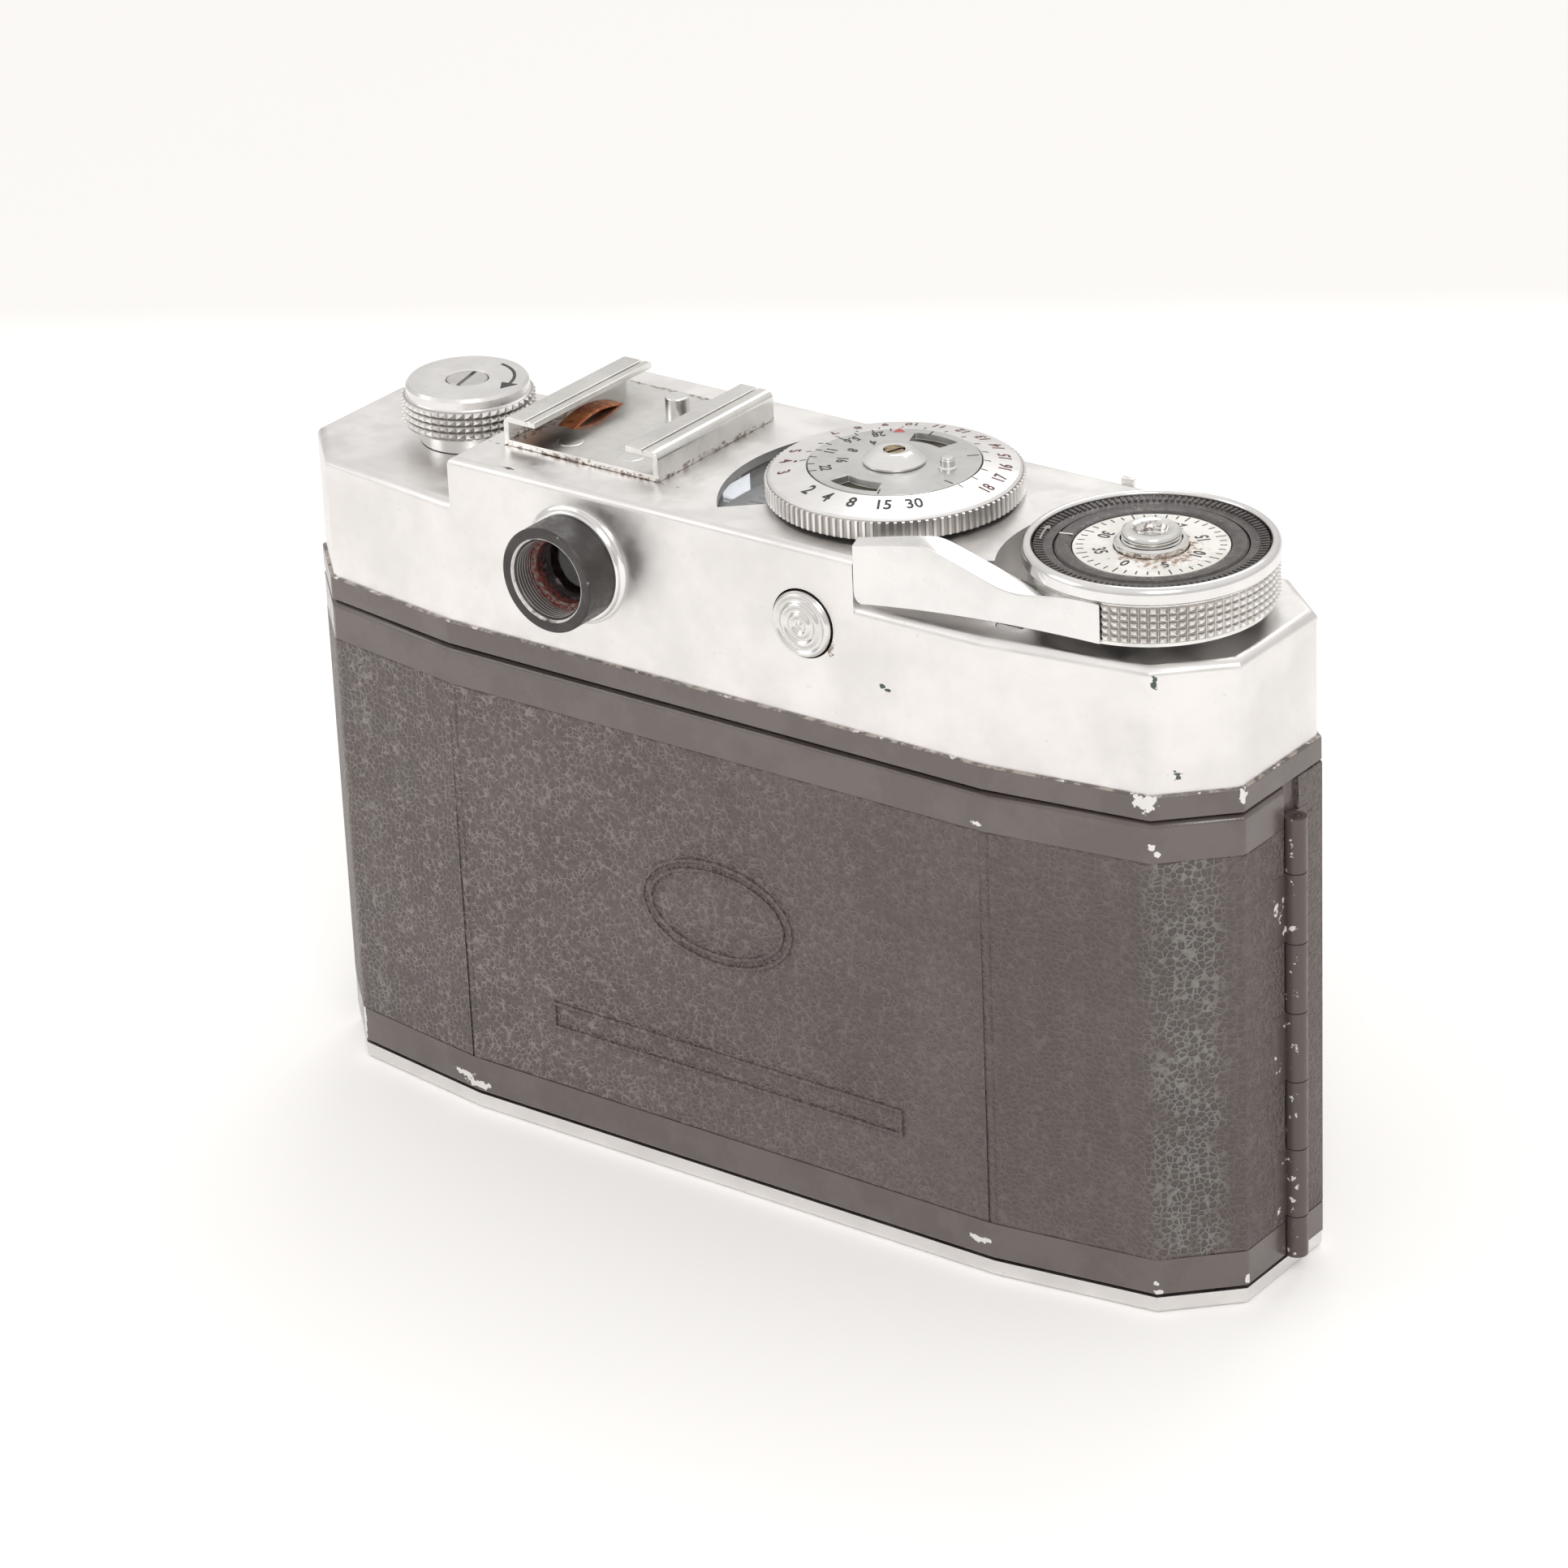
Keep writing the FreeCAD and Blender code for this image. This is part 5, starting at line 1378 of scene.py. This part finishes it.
index = turned("index_ring_turned",
               [(8.35, CAP_TOP), (10.1, CAP_TOP), (10.1, 82.75), (9.9, 82.95), (9.3, 82.98),
                (8.6, 82.85), (8.35, 82.7), (8.35, CAP_TOP)], LEVER, "Z", 128)
smooth(index)
fit(index, moulding, "advance_lever", "black_plastic", "index_ring")
notch = mark(0.3, 1.5, on_dial(LEVER, 9.25, -164, 82.975))
notch.name = "index_mark"
fit(notch, ink("pale_line", (0.62, 0.60, 0.57)), "advance_lever", "black_plastic")

counter = turned("counter_dial_turned",
                 [(4.0, 81.75), (4.6, 81.75), (4.6, 82.0), (8.2, 82.0), (8.2, 82.7), (8.12, 82.75),
                  (4.0, 82.75), (4.0, 81.75)], LEVER, "Z", 128)
smooth(counter)
COUNTER_DIRT = [((LEVER[0] + 1.5, LEVER[1] - 1.0, 82.75), (4.2, 4.2, 0.5))]
fit(counter, white_enamel("dial_enamel", COUNTER_DIRT), "counter_dial", "dial_white", "counter_dial")
COUNTER_TOP, COUNTER_ZERO, COUNTER_STEP = 82.755, -87.0, 9.0
counts = [figure(str(5 * i), 2.0, on_dial(LEVER, 5.55, COUNTER_ZERO + 45 * i, COUNTER_TOP))
          for i in range(8)]
counts += [mark(0.15, 1.15 if i % 5 == 0 else 0.75,
                on_dial(LEVER, 7.45, COUNTER_ZERO + COUNTER_STEP * i, COUNTER_TOP)) for i in range(40)]
counter_figures = joined(counts, "counter_figures")
fit(counter_figures, black_ink, "counter_dial", "blackened_metal")

# ---------------------------------------------------------------------------
# Release button.
# A turned chrome button, tapped in the middle for a cable release, in a
# threaded chrome collar. Old grease has browned its thread.
# ---------------------------------------------------------------------------
RELEASE_DIRT = [((LEVER[0], LEVER[1], 82.9), (4.4, 4.4, 0.45)),
                ((LEVER[0], LEVER[1], 84.2), (1.75, 1.75, 1.2))]
release_chrome = plated("release_chrome", (0.80, 0.79, 0.77), 0.16, 0.1, 0.04, RELEASE_DIRT)
collar = turned("release_collar_turned",
                [(3.25, 61.2), (3.9, 61.2), (3.9, 82.9), (3.95, 83.1), (3.9, 83.35), (3.65, 83.6),
                 (3.3, 83.6), (3.25, 83.5), (3.25, 61.2)], LEVER, "Z", 72)
smooth(collar)
fit(collar, release_chrome, "root", "bright_chrome", "release_collar")
BUTTON_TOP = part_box("release_button")[1].z / MM
bore = []
for i in range(8):
    bore += [(1.75, BUTTON_TOP - 0.5 - 0.5 * i), (1.5, BUTTON_TOP - 0.75 - 0.5 * i)]
release = turned("release_button_turned",
                 [(0.0, 66.0), (1.5, 66.0), (1.5, 74.0), (3.15, 74.0), (3.15, 83.5), (3.0, 83.62),
                  (3.0, 83.75), (3.15, 83.9), (3.15, 84.25), (3.02, 84.52), (2.75, BUTTON_TOP),
                  (2.1, BUTTON_TOP), (1.85, BUTTON_TOP - 0.15)] + bore + [(0.0, 79.7)],
                 LEVER, "Z", 72)
smooth(release)
fit(release, release_chrome, "release_button", "bright_chrome", "release_button")

# ---------------------------------------------------------------------------
# Lens and leaf shutter.
# A satin alloy housing on a round board carries the speed, aperture and focus
# rings, a blackened barrel with coated glasses, and the self-timer lever.
# ---------------------------------------------------------------------------
AXIS = (0.0, 0.0, 31.0)
worked("lens_board", 0.3, satin_alloy, "root", "satin_alloy")
for source, material, body, slot, width in (
        ("shutter_housing", satin_alloy, "root", "satin_alloy", 0.25),
        ("flash_socket", bright_chrome, "root", "bright_chrome", 0.15),
        ("timer_lever", bright_chrome, "timer_lever", "bright_chrome", 0.25),
        ("door_latch", bright_chrome, "door_latch", "bright_chrome", 0.12)):
    worked(source, width, material, body, slot)


GRIP_STEP = 0.35                     # depth of the step and of the slanted face


def grip_ring(name, outer, low, high, teeth):
    """A lens ring: plain shoulder for its scale, then a milled grip."""
    step = low + (high - low) * 0.45
    profile = [(16.9, low), (outer - 0.3, low), (outer, low + 0.3), (outer, step),
               (outer - GRIP_STEP, step + 0.15), (outer - GRIP_STEP, high - GRIP_STEP),
               (outer - 0.7, high), (16.9, high), (16.9, low)]
    piece = turned(name, profile, AXIS, "Y", teeth * 2)
    mill(piece, AXIS, "Y", outer - GRIP_STEP, teeth, 0.06, 0.28, 0.1)
    smooth(piece)
    return piece


LENS_RINGS = [("speed_ring", 25.4, 120), ("aperture_ring", 22.6, 108), ("focus_ring", 20.4, 90)]
for source, outer, teeth in LENS_RINGS:
    low, high = (c.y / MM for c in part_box(source))
    part = grip_ring(source + "_turned", outer, low, high, teeth)
    fit(part, satin_alloy, source, "satin_alloy", source)


def on_barrel(radius, angle, depth):
    """A place on a lens ring's outer wall, read from above and in front."""
    turn = math.radians(angle)
    spot = Vector((radius * math.cos(turn), depth, AXIS[2] + radius * math.sin(turn)))
    return (Matrix.Translation(MM * spot) @ Matrix.Rotation(math.pi / 2 - turn, 4, "Y")
            @ Matrix.Rotation(math.pi, 4, "Z"))


LENS_SCALES = [
    ("speed_ring", 25.4, 28.0, 1.05, ["500", "250", "125", "60", "30", "15", "8", "4", "2", "1"], 11),
    ("aperture_ring", 22.6, 31.6, 0.95, ["2.8", "4", "5.6", "8", "11", "16", "22"], 11),
    ("focus_ring", 20.4, 35.3, 1.2, ["1", "1.2", "1.5", "2", "3", "5", "10"], 17),
]
for source, outer, depth, size, values, pitch in LENS_SCALES:
    first = 90 + pitch * (len(values) / 2 - 0.5)
    labels = [figure(text, size, on_barrel(outer + 0.01, first - pitch * i, depth))
              for i, text in enumerate(values)]
    scale = joined(labels, source + "_figures")
    fit(scale, black_ink, source, "blackened_metal")

finger_grip = bench_copy("focus_ring", "focus_grip")
pick(finger_grip, "FACE", lambda c, n: c.z > AXIS[2] - 20.0)
bpy.ops.mesh.delete(type="FACE")
bpy.ops.object.mode_set(mode="OBJECT")
soften(finger_grip, 0.2)
fit(finger_grip, satin_alloy, "focus_ring", "satin_alloy")

worked("lens_barrel", 0.12, black_inside, "root", "blackened_metal")
lens_rim = turned("lens_front_rim", [(17.4, 39.85), (18.3, 39.85), (18.45, 40.0), (18.45, 41.45),
                                     (18.2, 41.65), (17.6, 41.65), (17.4, 41.5), (17.4, 39.85)],
                  AXIS, "Y", 128)
smooth(lens_rim)
fit(lens_rim, bright_chrome, "root", "bright_chrome")
violet_glass = coated_glass("coated_front_glass", (0.80, 0.78, 0.95))
front_glass = turned("lens_front_turned",
                     [(0.0, 38.9), (2.5, 38.84), (5.0, 38.66), (7.5, 38.36), (10.0, 37.92),
                      (12.4, 37.3), (12.4, 36.2), (0.0, 36.2)], AXIS, "Y", 96)
smooth(front_glass)
fit(front_glass, violet_glass, "root", "optical_glass", "lens_front_element")
dress(lens_glass, "lens_rear_element")
dress(steel, "shutter_blades")

# ---------------------------------------------------------------------------
# Film chamber.
# Machined steel gate rails, a blackened sprocket and pressure plate, a black
# take-up spool, and two bowed steel springs in the door.
# ---------------------------------------------------------------------------
dress(steel, "film_gate", "pressure_springs", "hinge_pin")
dress(black_inside, "sprocket", "pressure_plate")
dress(moulding, "take_up_spool")
